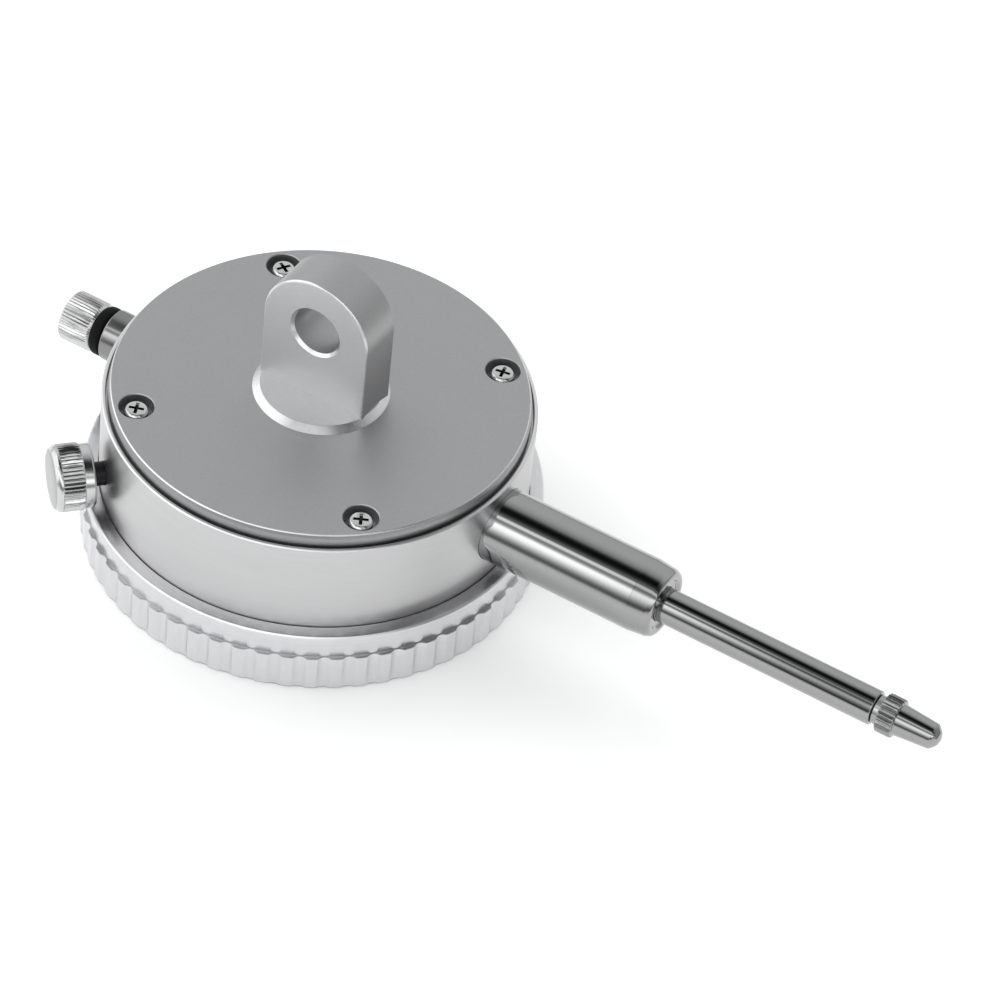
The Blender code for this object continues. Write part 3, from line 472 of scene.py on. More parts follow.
def build_case():
    """The cup, its screw bosses and posts, and every hole through it."""
    bm = bmesh.new()
    profile = soften((
        (0, case_low.z),
        (CASE_R - 0.3, case_low.z, 0.1),
        (CASE_R, case_low.z + 0.3, 0.1),
        (CASE_R, SNAP_GROOVE_Z[0], 0.05),
        (SNAP_GROOVE_R, SNAP_GROOVE_Z[0], 0.05),
        (SNAP_GROOVE_R, SNAP_GROOVE_Z[1], 0.05),
        (CASE_R, SNAP_GROOVE_Z[1], 0.05),
        (CASE_R, 14.0),
        (CASE_R, CASE_RIM_Z - 0.16, 0.06),
        (CASE_R - 0.16, CASE_RIM_Z, 0.06),
        (RIM_INNER_R, CASE_RIM_Z, 0.08),
        (RIM_INNER_R, SHELF_Z, 0.05),
        (CASE_BORE_R, SHELF_Z, 0.1),
        (CASE_BORE_R, WEB_TOP_Z, 0.3),
        (0, WEB_TOP_Z),
    ))
    add_lathe(bm, profile, 240)
    case = make(bm, "case_shell")
    for at in screw_places():
        post(case, "UNION", 2.6, 15.2, SHELF_Z - 0.05, 40, at)
        post(case, "DIFFERENCE", SCREW_HOLE_R, 14.7, 21.5, 32, at)
    for k in range(4):
        at = axis_of(f"bridge_screw_{k + 1}")
        post(case, "UNION", 1.8, 5.5, 9.95, 32, at)
        post(case, "DIFFERENCE", 0.66, 7.5, 10.5, 24, at)
    for at in (place(), place(COUNTER_X), axis_of("spring_post"), axis_of("rack_pinion")):
        post(case, "DIFFERENCE", 0.66, 4, 6.5, 24, at)
    for k in (1, 2):
        post(case, "DIFFERENCE", 0.56, 4, 5.7, 24, axis_of(f"dial_screw_{k}"))
    post(case, "DIFFERENCE", STEM_R + 0.05, 23, 29, 96, along_x())
    post(case, "DIFFERENCE", 3.45, -29, -23, 72, along_x())
    post(case, "DIFFERENCE", 1.56, 24, 28, 48, along_radius(CLAMP_ANGLE, CLAMP_Z))
    window = bmesh.new()
    add_box(window, (24, -1.6, 7.85), (28, 1.6, 8.55), Matrix.Rotation(CLAMP_ANGLE, 4, "Z"))
    boolean(case, window, "DIFFERENCE")
    dress(case, (WALL, MACHINED), "case")

    def on_rim(centre, normal):
        return centre.z > CASE_RIM_Z - 0.2 and centre.xy.length > 26.2

    tag(case, 1, on_rim)


def build_cover():
    """The round cover with its counterbored holes, and the lug on its round foot."""
    bm = bmesh.new()
    profile = soften((
        (0, cover_low.z),
        (COVER_R - 0.1, cover_low.z, 0.05),
        (COVER_R, cover_low.z + 0.1, 0.05),
        (COVER_R, COVER_TOP_Z - 0.95, 0.20),
        (COVER_R - 0.07, COVER_TOP_Z - 0.50, 0.30),
        (COVER_R - 0.21, COVER_TOP_Z - 0.13, 0.06),
        (COVER_R - 0.34, COVER_TOP_Z, 0.04),
        (0, COVER_TOP_Z),
    ))
    add_lathe(bm, profile, 240)
    cover = make(bm, "cover_with_lug")

    for at in screw_places():
        cut = bmesh.new()
        profile = (
            (0, cover_low.z - 1),
            (SCREW_HOLE_R, cover_low.z - 1),
            (SCREW_HOLE_R, COUNTERBORE_Z),
            (COUNTERBORE_R, COUNTERBORE_Z),
            (COUNTERBORE_R, COVER_TOP_Z - 0.10),
            (COUNTERBORE_R + 0.09, COVER_TOP_Z + 0.002),
            (COUNTERBORE_R + 0.09, COVER_TOP_Z + 0.5),
            (0, COVER_TOP_Z + 0.5),
        )
        add_lathe(cut, profile, 72, at)
        boolean(cover, cut, "DIFFERENCE")
    boss = bmesh.new()
    low = COVER_TOP_Z - 1.2
    profile = soften((
        (0, low),
        (LUG_BOSS_R, low),
        (LUG_BOSS_R, COVER_TOP_Z + 0.03),
        (LUG_BOSS_TOP_R, LUG_BOSS_TOP_Z - 0.02, 0.06),
        (0, LUG_BOSS_TOP_Z),
    ))
    add_lathe(boss, profile, 144)
    boolean(cover, boss, "UNION")

    ear = bmesh.new()
    front, back = 0.26, 0.14
    stations = (
        (LUG_FRONT_Y, front),
        (LUG_FRONT_Y + 0.07, 0.13),
        (LUG_FRONT_Y + 0.16, 0.05),
        (LUG_FRONT_Y + front, 0.0),
        (LUG_BACK_Y - back, 0.0),
        (LUG_BACK_Y - 0.04, 0.04),
        (LUG_BACK_Y, back),
    )
    rings = []
    for y, inset in stations:
        r = LUG_HALF_WIDTH - inset
        ring = [Vector((r, low + 0.3, -y))]
        for i in range(73):
            a = math.pi * i / 72
            ring.append(Vector((r * math.cos(a), LUG_HOLE_Z + r * math.sin(a), -y)))
        ring.append(Vector((-r, low + 0.3, -y)))
        rings.append(ring)
    upright = Matrix.Rotation(math.pi / 2, 4, "X")
    add_rings(ear, rings, upright)
    boolean(cover, ear, "UNION")

    bore = bmesh.new()
    mouth_r = LUG_HOLE_R + 0.45
    low, high = -LUG_BACK_Y, -LUG_FRONT_Y
    profile = soften((
        (0, low - 1),
        (mouth_r, low - 1),
        (mouth_r, low - 0.05),
        (LUG_HOLE_R, low + 0.4, 0.1),
        (LUG_HOLE_R, high - 0.4, 0.1),
        (mouth_r, high + 0.05),
        (mouth_r, high + 1),
        (0, high + 1),
    ))
    add_lathe(bore, profile, 96, place(0, 0, LUG_HOLE_Z) @ upright)
    boolean(cover, bore, "DIFFERENCE")
    dress(cover, (BLASTED, MACHINED, EAR, RING, PAD, PAINTED_GAP_SHADE), "back_cover")

    def is_side(centre, normal):
        return centre.xy.length > COVER_R - 0.22 and normal.z < 0.4

    def is_rim(centre, normal):
        outside = centre.xy.length > COVER_R - 0.36 and centre.z > COVER_TOP_Z - 0.17
        return outside and 0.4 < normal.z < 0.995

    def is_front_face(centre, normal):
        return centre.z > LUG_BOSS_TOP_Z - 0.01 and abs(normal.y) > 0.97

    def is_boss(centre, normal):
        low_enough = COVER_TOP_Z + 0.005 < centre.z < LUG_BOSS_TOP_Z + 0.01
        return low_enough and centre.xy.length < LUG_BOSS_R + 0.06 and 0.05 < normal.z < 0.95

    def is_boss_top(centre, normal):
        level = abs(centre.z - LUG_BOSS_TOP_Z + 0.02) < 0.03
        return level and centre.xy.length < LUG_BOSS_TOP_R + 0.08 and normal.z > 0.95

    def is_front_edge(centre, normal):
        near_front = centre.y < LUG_FRONT_Y + front + 0.02
        return near_front and centre.z > LUG_BOSS_TOP_Z + 0.01 and -0.97 < normal.y < -0.08

    # Painted shade: the cover's side, down in the gap under the case rim, takes a darker copy of the cast
    # finish.
    tag(cover, 5, is_side)
    tag(cover, 1, is_rim)
    tag(cover, 2, is_front_face)
    tag(cover, 3, is_boss)
    tag(cover, 4, is_boss_top)
    tag(cover, 1, is_front_edge)


def build_cover_screws():
    """Four cheese head screws with a cross recess, each turned by its own amount."""
    for k, turned in enumerate(SCREW_TWISTS, 1):
        low, high = span(f"cover_screw_{k}")
        at = axis_of(f"cover_screw_{k}")
        top = high.z
        profile = soften((
            (0, low.z),
            (0.8, low.z, 0.1),
            (1.0, low.z + 0.4, 0.1),
            (1.0, 21.2),
            (1.52, 21.2, 0.08),
            (1.55, top - 0.34, 0.1),
            (1.28, top - 0.04, 0.25),
            (0, top),
        ))
        bm = bmesh.new()
        add_lathe(bm, profile, 48, at)
        screw = make(bm, f"cover_screw_head_{k}")
        slots = bmesh.new()
        twist = Matrix.Rotation(math.radians(turned), 4, "Z")
        rings = []
        for z, reach, width in ((top - 0.80, 0.48, 0.15), (top - 0.30, 0.88, 0.20), (top + 0.3, 1.02, 0.23)):
            arms = [(width, reach), (width, width), (reach, width)]
            arms += [(x, -y) for x, y in reversed(arms)]
            outline = arms + [(-x, -y) for x, y in arms]
            rings.append([Vector((x, y, z)) for x, y in outline])
        add_rings(slots, rings, at @ twist)
        boolean(screw, slots, "DIFFERENCE")
        dress(screw, (NICKEL, PAINTED_SHADE_BLACK), f"cover_screw_{k}")
        middle = at.translation.xy
        # Painted shade: the walls and floor of the cross recess are near black.
        tag(screw, 1, lambda centre, normal: (centre.xy - middle).length < 1.0 and centre.z < top - 0.12)


# ---------------------------------------------------------------- plunger line


def turned_part(name, corners, count, matrix, mats, node, closed=False, shape=None, sharp=30, steps=4):
    bm = bmesh.new()
    add_lathe(bm, soften(corners, steps, closed), count, matrix, closed, shape)
    return dress(make(bm, name), mats, node, sharp)


def build_stem():
    corners = (
        (BORE_R, stem_low.x),
        (STEM_R - 0.2, stem_low.x, 0.1),
        (STEM_R, stem_low.x + 0.2, 0.1),
        (STEM_R, 47.0, 0.6),
        (4.50, 49.35, 0.5),
        (4.20, stem_high.x - 0.12, 0.5),
        (3.85, stem_high.x, 0.25),
        (3.35, stem_high.x, 0.12),
        (3.05, stem_high.x - 0.35, 0.12),
        (BORE_R, stem_high.x - 0.35, 0.05),
    )
    turned_part("stem_tube", corners, 160, along_x(), STEEL, "stem", closed=True)

    inner = bushing_high.x
    outer = bushing_low.x
    corners = (
        (BORE_R, outer, 0.05),
        (3.4, outer, 0.3),
        (3.4, -27.92, 0.04),
        (3.75, -27.88, 0.12),
        (3.75, -27.0),
        (3.4, -27.0),
        (3.4, inner),
        (BORE_R, inner),
    )
    turned_part("bushing_tube", corners, 112, along_x(), SLEEVE, "upper_bushing",
                closed=True)


def build_rod():
    """The plunger's rod, with a rack cut along one side and a hole for the guide pin."""
    stud_r = 1.25
    end = rod_high.x
    corners = (
        (0, rod_low.x),
        (1.2, rod_low.x, 0.1),
        (1.5, rod_low.x + 0.3, 0.1),
        (1.5, buffer_low.x, 0.02),
        (ROD_R, buffer_low.x, 0.1),
        (ROD_R, end - 0.14, 0.08),
        (ROD_R - 0.16, end, 0.08),
        (stud_r, end),
        (stud_r, end - 3.6),
        (0, end - 3.6),
    )
    bm = bmesh.new()
    add_lathe(bm, soften(corners), 128, along_x())
    rod = make(bm, "plunger_bar")
    cuts = bmesh.new()
    floor_y, tip_y = 1.33, 1.77
    first = (rack_low.x + rack_high.x) / 2 - 3 * RACK_PITCH
    teeth = []
    for k in range(RACK_TEETH):
        x = first + k * RACK_PITCH
        teeth.append((x - RACK_PITCH / 2 - 0.05, floor_y))
        teeth.append((x - RACK_PITCH / 2 + 0.05, floor_y))
        teeth.append((x - 0.06, tip_y))
        teeth.append((x + 0.06, tip_y))
    low = teeth[0][0] - 0.4
    high = teeth[-1][0] + RACK_PITCH / 2
    clear = [(high, floor_y), (high + 0.4, floor_y), (high + 0.4, 4), (low, 4)]
    outline = [(low, floor_y)] + teeth + clear
    add_prism(cuts, outline, AXIS_Z - 4, AXIS_Z + 4)
    pin_x = (pin_low.x + pin_high.x) / 2
    hole = place(pin_x, 0, AXIS_Z) @ Matrix.Rotation(math.pi / 2, 4, "X")
    add_lathe(cuts, ((0, -0.3), (0.78, -0.3), (0.78, 4), (0, 4)), 32, hole)
    boolean(rod, cuts, "DIFFERENCE")
    dress(rod, STEEL, "plunger_rod")


def knurl(teeth, tip, depth, low, high):
    """A shape for add_lathe: straight teeth between two heights, where the blank is wide enough."""

    def shape(angle, radius, height):
        if not low <= height <= high:
            return radius
        phase = (angle * teeth / TAU) % 1
        wave = abs(2 * phase - 1)
        wave = min(1.0, max(0.0, 1.15 * wave - 0.075))
        return min(radius, tip - depth * wave)

    return shape


def build_fittings():
    """The contact point, the knurled cap and the rubber ring under it."""
    start = contact_low.x
    knurl_r = 2.485
    corners = (
        (0, start),
        (1.0, start, 0.1),
        (1.2, start + 0.2, 0.05),
        (1.2, rod_high.x + 0.06, 0.02),
        (1.85, rod_high.x + 0.10, 0.05),
        (1.85, 79.93, 0.05),
        (2.28, 79.95),
        (2.40, 80.0),
        (knurl_r, 80.12),
        (knurl_r, 80.6),
        (knurl_r, 81.5),
        (knurl_r, 81.95),
        (2.40, 82.08),
        (2.26, 82.16),
        (2.02, 82.2, 0.04),
        (1.95, 83.0, 0.3),
        (1.64, 86.75, 0.2),
        (1.42, 87.05, 0.2),
        (0.85, 87.55, 0.5),
        (0, contact_high.x),
    )
    shape = knurl(24, knurl_r, 0.20, 79.94, 82.17)
    turned_part("contact_tip", corners, 288, along_x(), (STEEL, DARK_STEEL), "contact_point",
                shape=shape, sharp=24, steps=3)
    tag(bpy.data.objects["contact_tip"], 1, lambda centre, normal: 79.9 < centre.x < 82.2)

    outer, inner = cap_low.x, cap_high.x
    cap_r = 3.315
    corners = (
        (0, outer),
        (2.6, outer + 0.01, 0.3),
        (3.0, outer + 0.06, 0.12),
        (3.18, outer + 0.16),
        (3.27, outer + 0.26),
        (cap_r, outer + 0.40),
        (cap_r, outer + 2.2),
        (cap_r, inner - 0.62),
        (3.24, inner - 0.36),
        (3.08, inner - 0.08),
        (3.0, inner, 0.05),
        (1.55, inner),
        (1.55, rod_low.x - 0.3),
        (0, rod_low.x - 0.3),
    )
    shape = knurl(48, cap_r, 0.12, outer + 0.10, inner - 0.30)
    turned_part("cap_knob", corners, 432, along_x(), NICKEL, "top_cap",
                shape=shape, sharp=24)

    corners = (
        (BORE_R, buffer_low.x, 0.1),
        (3.25, buffer_low.x, 0.42),
        (3.25, buffer_high.x, 0.42),
        (BORE_R, buffer_high.x, 0.1),
    )
    turned_part("buffer_washer", corners, 96, along_x(), RUBBER, "buffer_ring", closed=True)


# ---------------------------------------------------------------- bezel


def build_bezel():
    """The bezel ring: a fluted grip under a narrower neck, and steps inside for the dial and the crystal."""
    depth = 0.45
    share = 0.56
    neck = 28.46
    corners = (
        (neck, LEDGE_Z),
        (neck + 0.03, LEDGE_Z + 0.12),
        (28.87, bezel_high.z, 0.42),
        (27.06, bezel_high.z, 0.05),
        (26.98, bezel_high.z - 0.08, 0.04),
        (26.98, 7.65),
        (27.55, 7.65),
        (27.55, 6.75),
        (26.98, 6.75),
        (26.98, 4.35),
        (26.6, 4.35),
        (26.6, 2.9),
        (25.7, 2.9),
        (25.7, 1.75),
        (CRYSTAL_R + 0.1, 1.75),
        (CRYSTAL_R + 0.1, 0.35, 0.05),
        (27.4, 0, 0.08),
        (28.35, 0),
        (BEZEL_R - 0.29, 0.0),
        (BEZEL_R - 0.10, 0.10),
        (BEZEL_R, 0.34),
        (BEZEL_R, 1.6),
        (BEZEL_R, 3.4),
        (BEZEL_R, LEDGE_Z - 0.10),
        (BEZEL_R - 0.03, LEDGE_Z - 0.03),
        (BEZEL_R - 0.10, LEDGE_Z),
    )
    land = (1 - share) / 2

    def fluted(angle, radius, height):
        if radius < BEZEL_R - 0.3 or height > LEDGE_Z + 0.001:
            return radius
        step = (angle * FLUTES / TAU) % 1
        inside = min(step, 1 - step) / (share / 2)
        cut = depth * max(0.0, 1 - inside**2)
        if inside >= 1:
            beyond = (min(step, 1 - step) - share / 2) / land
            cut = 0.035 * max(0.0, 1 - 3 * beyond) ** 2
        cut *= min(1.0, 0.4 + 0.6 * height / 1.6)
        return radius - cut if radius > BEZEL_R - 0.2 else min(radius, BEZEL_R - 0.29 - cut * 0.3)

    angles = []
    valley = [share / 2 * v for v in (0.0, 0.3, 0.56, 0.78, 0.94, 1.0)]
    steps = valley + [0.5 * share + land * 0.14, 0.5 * share + land * 0.5]
    steps = steps + [1 - s for s in reversed(steps[1:])]
    for k in range(FLUTES):
        for s in steps[:-1]:
            angles.append((k + s) * TAU / FLUTES)
        angles.append((k + steps[-1]) * TAU / FLUTES)
    bm = bmesh.new()
    rings = []
    for radius, height in soften(corners, 3):
        ring = []
        for a in angles:
            r = fluted(a, radius, height)
            ring.append(Vector((r * math.cos(a), r * math.sin(a), height)))
        rings.append(ring)
    add_rings(bm, rings, closed=True)
    bezel = make(bm, "bezel_ring")
    dress(bezel, (TURNED, PAINTED_SHADE_ALUMINIUM, RIBBED), "bezel", sharp=28)

    # Painted shade: the ledge under the overhanging neck and the bevel at the foot take the darker copy of
    # the finish.
    def in_shade(centre, normal):
        ledge = abs(centre.z - LEDGE_Z) < 0.2 and normal.z > 0.3
        foot = centre.z < 0.36 and centre.xy.length > 28.0
        return ledge or foot

    tag(bezel, 2, lambda centre, normal: centre.z < LEDGE_Z - 0.05 and centre.xy.length > 28.5)
    tag(bezel, 1, in_shade)


# ---------------------------------------------------------------- dial face


def add_number(bm, text, x, y, size, low, high):
    """Digits that read upright when the dial is seen from the front, with 12 o'clock towards -X."""
    curve = bpy.data.curves.new("digits", "FONT")
    curve.body = text
    curve.align_x = "CENTER"
    curve.align_y = "CENTER"
    curve.size = size
    curve.extrude = (high - low) / 2
    curve.resolution_u = 5
    curve.offset = 0.012 * size
    ob = bpy.data.objects.new("digits", curve)
    bpy.context.scene.collection.objects.link(ob)
    bpy.context.view_layer.update()
    mesh = bpy.data.meshes.new_from_object(ob.evaluated_get(bpy.context.evaluated_depsgraph_get()))
    turn = Matrix(((0, -1, 0, x), (-1, 0, 0, y), (0, 0, -1, (low + high) / 2), (0, 0, 0, 1)))
    mesh.transform(turn)
    bm.from_mesh(mesh)
    bpy.data.objects.remove(ob)
    bpy.data.meshes.remove(mesh)


def add_tick(bm, angle, inner, outer, width, low, high, matrix=None):
    turn = Matrix.Rotation(angle, 4, "Z")
    add_box(bm, (inner, -width / 2, low), (outer, width / 2, high), (matrix or Matrix()) @ turn)


def finish_print(bm, name, body):
    bmesh.ops.remove_doubles(bm, verts=bm.verts, dist=1e-4)
    ob = make(bm, name)
    ob.data.materials.append(PRINT)
    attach(ob, body)


def build_dial():
    """The outer scale, the fixed middle with the turn counter, the crystal and the two dial screws."""
    front = ring_low.z
    corners = (
        (16.8, front, 0.04),
        (26.5, front, 0.04),
        (26.5, ring_high.z, 0.04),
        (16.8, ring_high.z, 0.04),
    )
    turned_part("dial_scale", corners, 180, None, WHITE, "dial_ring", closed=True)

    low, high = front - 0.015, front + 0.01
    bm = bmesh.new()
    for k in range(100):
        angle = math.pi + TAU * k / 100
        inner, width = 23.5, 0.17
        if k % 10 == 0:
            inner, width = 22.3, 0.30
        elif k % 5 == 0:
            inner, width = 22.9, 0.24
        add_tick(bm, angle, inner, 25.3, width, low, high)
    for k in range(10):
        angle = math.pi + TAU * k / 10
        add_number(bm, str(10 * k), 20.2 * math.cos(angle), 20.2 * math.sin(angle), 3.6, low, high)
    finish_print(bm, "dial_scale_print", body_of["dial_ring"])

    front = dial_low.z
    bm = bmesh.new()
    profile = soften(((0, front), (17.4, front, 0.04), (17.4, dial_high.z, 0.04), (0, dial_high.z)))
    add_lathe(bm, profile, 144)
    dial = make(bm, "dial_centre")
    for x in (0, COUNTER_X):
        post(dial, "DIFFERENCE", 0.9, 3, 4.4, 40, place(x))
    for k in (1, 2):
        post(dial, "DIFFERENCE", 0.56, 3, 4.4, 40, axis_of(f"dial_screw_{k}"))
    dress(dial, WHITE, "inner_dial")

    low, high = front - 0.015, front + 0.01
    bm = bmesh.new()
    at = place(COUNTER_X, 0)
    ring = ((5.15, low), (5.30, low), (5.30, high), (5.15, high))
    add_lathe(bm, ring, 120, at, closed=True)
    for k in range(20):
        angle = math.pi + TAU * k / 20
        add_tick(bm, angle, 4.75 if k % 2 else 4.45, 5.2, 0.12, low, high, at)
    for k in range(10):
        angle = math.pi + TAU * k / 10
        x = COUNTER_X + 3.55 * math.cos(angle)
        add_number(bm, str(k), x, 3.55 * math.sin(angle), 1.35, low, high)
    finish_print(bm, "dial_centre_print", body_of["inner_dial"])

    corners = (
        (0, crystal_low.z),
        (CRYSTAL_R - 0.45, crystal_low.z, 0.2),
        (CRYSTAL_R, 0.45, 0.1),
        (CRYSTAL_R, crystal_high.z, 0.1),
        (0, crystal_high.z),
    )
    turned_part("crystal_disc", corners, 180, None, CLEAR, "crystal")

    for k in (1, 2):
        a, b = span(f"dial_screw_{k}")
        at = axis_of(f"dial_screw_{k}")
        corners = (
            (0, a.z),
            (0.78, a.z + 0.03, 0.1),
            (0.9, a.z + 0.14, 0.06),
            (0.9, 3.45, 0.03),
            (0.5, 3.45),
            (0.5, b.z),
            (0, b.z),
        )
        bm = bmesh.new()
        add_lathe(bm, soften(corners), 40, at)
        screw = make(bm, f"dial_screw_head_{k}")
        slot = bmesh.new()
        add_box(slot, (-2, -0.11, a.z - 1), (2, 0.11, a.z + 0.14), at @ Matrix.Rotation(0.6 * k, 4, "Z"))
        boolean(screw, slot, "DIFFERENCE")
        dress(screw, STEEL, f"dial_screw_{k}")


def build_hand(name, node, outline, low, high, hub, x):
    """A hand whose blade has bevelled edges, pressed on a domed hub."""
    at = place(x, 0)
    edge = 0.035
    blade = bmesh.new()
    rings = []
    for z, inset in ((low, edge), (low + edge, 0), (high, 0)):
        ring = []
        for px, py in outline:
            ring.append(Vector((px - math.copysign(min(inset, abs(px) * 0.6), px), py, z)))
        rings.append(ring)
    add_rings(blade, rings, at)
    hand = make(blade, name)
    boss = bmesh.new()
    radius, front, back = hub
    corners = (
        (0, front),
        (radius * 0.7, front, 0.15),
        (radius, front + 0.18, 0.12),
        (radius, back, 0.03),
        (0, back),
    )
    add_lathe(boss, soften(corners), 48, at)
    boolean(hand, boss, "UNION")
    eye = bmesh.new()
    add_lathe(eye, ((0, front - 1), (0.45, front - 1), (0.45, back + 1), (0, back + 1)), 32, at)
    boolean(hand, eye, "DIFFERENCE")
    dress(hand, HAND_BLACK, node)


def build_hands():
    outline = [(-0.9, -6.0), (0.9, -6.0), (0.55, -1.0), (0.6, 2.0)]
    outline += [(0.12, 21.5), (-0.12, 21.5), (-0.6, 2.0), (-0.55, -1.0)]
    build_hand("pointer", "main_pointer", outline, 2.15, 2.35, (1.3, 1.95, 2.9), 0.0)
    outline = [(-0.35, -1.8), (0.35, -1.8), (0.3, 1.0), (0.08, 4.2), (-0.08, 4.2), (-0.3, 1.0)]
    build_hand("counter_pointer", "counter_hand", outline, 2.5, 2.68, (0.85, 2.45, 3.3), COUNTER_X)


# ---------------------------------------------------------------- bezel clamp


def build_knob():
    inner, outer = 28.45, 33.72
    knob_r = 4.22
    first, last = 29.85, 32.55
    corners = (
        (0, 22.0),
        (1.3, 22.0, 0.1),
        (1.5, 22.2, 0.1),
        (1.5, inner, 0.05),
        (3.80, inner, 0.06),
        (4.05, inner + 0.26, 0.14),
        (4.05, first - 0.08, 0.03),
        (4.06, first - 0.04),
        (4.12, first + 0.02),
        (knob_r, first + 0.22),
        (knob_r, 30.7),
        (knob_r, 31.5),
        (knob_r, last - 0.08),
        (knob_r, last + 0.06),
        (knob_r - 0.01, last + 0.28, 0.3),
        (4.10, 33.05, 0.5),
        (3.80, 33.38, 0.25),
        (3.45, 33.56, 0.2),
        (2.3, outer - 0.04, 0.8),
        (0, outer),
    )
    shape = knurl(50, knob_r, 0.20, first - 0.05, last)
    at = along_radius(CLAMP_ANGLE, CLAMP_Z)
    mats = (NICKEL, SATIN_NICKEL, PAINTED_SHADE_BLACK)
    knob = turned_part("clamp_thumb_knob", corners, 400, at, mats, "clamp_knob",
                       shape=shape, sharp=24)
    outward = Vector((math.cos(CLAMP_ANGLE), math.sin(CLAMP_ANGLE), 0))
    tag(knob, 1, lambda centre, normal: centre.dot(outward) > 33.4 and normal.dot(outward) > 0.8)
    # Painted shade: the shank and the back face of the collar, in the gap against the case wall, are near
    # black.
    tag(knob, 2, lambda centre, normal: centre.dot(outward) < inner + 0.02)


# ---------------------------------------------------------------- inside


def build_spring():
    """The return spring. Its coils stretch between the post on the case and the pin on the plunger."""
    axis_y = (post_low.y + post_high.y) / 2
    post_x = (post_low.x + post_high.x) / 2
    pin_x = (pin_low.x + pin_high.x) / 2
    path = []
    for i in range(25):
        a = math.radians(-80 - 180 * i / 24)
        path.append(Vector((pin_x + 1.05 * math.cos(a), axis_y, AXIS_Z + 1.05 * math.sin(a))))
    start, end, radius, turns, per_turn = 7.6, 17.6, 1.25, 11, 24
    for i in range(turns * per_turn + 1):
        a = math.pi / 2 + TAU * i / per_turn
        x = start + (end - start) * i / (turns * per_turn)
        path.append(Vector((x, axis_y + radius * math.cos(a), AXIS_Z + radius * math.sin(a))))
    for i in range(25):
        a = math.radians(100 - 200 * i / 24)
        path.append(Vector((post_x + 1.2 * math.cos(a), axis_y + 1.2 * math.sin(a), AXIS_Z)))
    bm = bmesh.new()
    rings = []
    side = Vector((0, 0, 1))
    for i, point in enumerate(path):
        ahead = (path[min(i + 1, len(path) - 1)] - path[max(i - 1, 0)]).normalized()
        side = (side - ahead * side.dot(ahead)).normalized()
        other = ahead.cross(side)
        ring = []
        for k in range(10):
            a = TAU * k / 10
            ring.append(point + 0.17 * (math.cos(a) * side + math.sin(a) * other))
        rings.append(ring)
    add_rings(bm, rings)
    spring = make(bm, "return_coil")
    spring.data.materials.append(DARK_STEEL)
    spring.data.shade_smooth()
    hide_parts("return_spring")
    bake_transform(spring)


def dress_inside():
    """The movement keeps its CAD shapes and takes the finishes made here."""
    finishes = {
        BRASS: ("movement_bridge", "rack_cock", "guide_block", "rack_gear", "counter_gear", "clamp_shoe"),
        DARK_STEEL: ("centre_pinion", "rack_pinion", "guide_pin", "spring_post", "hairspring_stud",
                     "bezel_snap_wire"),
        NICKEL: ("bridge_screw_1", "bridge_screw_2", "bridge_screw_3", "bridge_screw_4", "cock_screw_1",
                 "cock_screw_2", "guide_screw_1", "guide_screw_2"),
        BLUED: ("hairspring",),
    }
    for mat, names in finishes.items():
        for name in names:
            mesh = frame["nodes"][name].data
            mesh.materials.clear()
            mesh.materials.append(mat)


# ---------------------------------------------------------------- stage


def build_floor():
    """Pale paper lit from behind. It is clear from below, and reflections see it darken with distance."""
    bm = bmesh.new()
    size = 3000.0
    corners = ((-size, -size), (size, -size), (size, size), (-size, size))
    bm.faces.new([bm.verts.new(Vector((x, y, -0.02))) for x, y in corners])
    floor = make(bm, "floor")
    if floor.data.polygons[0].normal.z < 0:
        floor.data.flip_normals()
    mat, tree, shader = new_material("floor_paper")
    path = add_node(tree, "ShaderNodeLightPath")
    far = remap(tree, path.outputs["Ray Length"], 0.06, 0.40, 0.0, 0.7)
    dim = maths(tree, "SUBTRACT", 1.0, maths(tree, "MULTIPLY", path.outputs["Is Glossy Ray"], far))
    grain = remap(tree, noise(tree, coordinates(tree, "solid"), 90.0), 0.3, 0.7, 0.91, 0.93)
    shade = maths(tree, "MULTIPLY", dim, grain)
    join = add_node(tree, "ShaderNodeCombineColor")
    for slot in range(3):
        wire(tree, shade, join.inputs[slot])
    wire(tree, join.outputs[0], shader.inputs["Base Color"])
    wire(tree, join.outputs[0], shader.inputs["Emission Color"])
    shader.inputs["Emission Strength"].default_value = 0.27
    shader.inputs["Roughness"].default_value = 0.75
    shader.inputs["Specular IOR Level"].default_value = 0.2
    output = tree.nodes["Material Output"]
    see_through = add_node(tree, "ShaderNodeBsdfTransparent")
    mix = add_node(tree, "ShaderNodeMixShader")
    geometry = add_node(tree, "ShaderNodeNewGeometry")
    wire(tree, geometry.outputs["Backfacing"], mix.inputs[0])
    wire(tree, shader.outputs[0], mix.inputs[1])
    wire(tree, see_through.outputs[0], mix.inputs[2])
    wire(tree, mix.outputs[0], output.inputs["Surface"])
    floor.data.materials.append(mat)


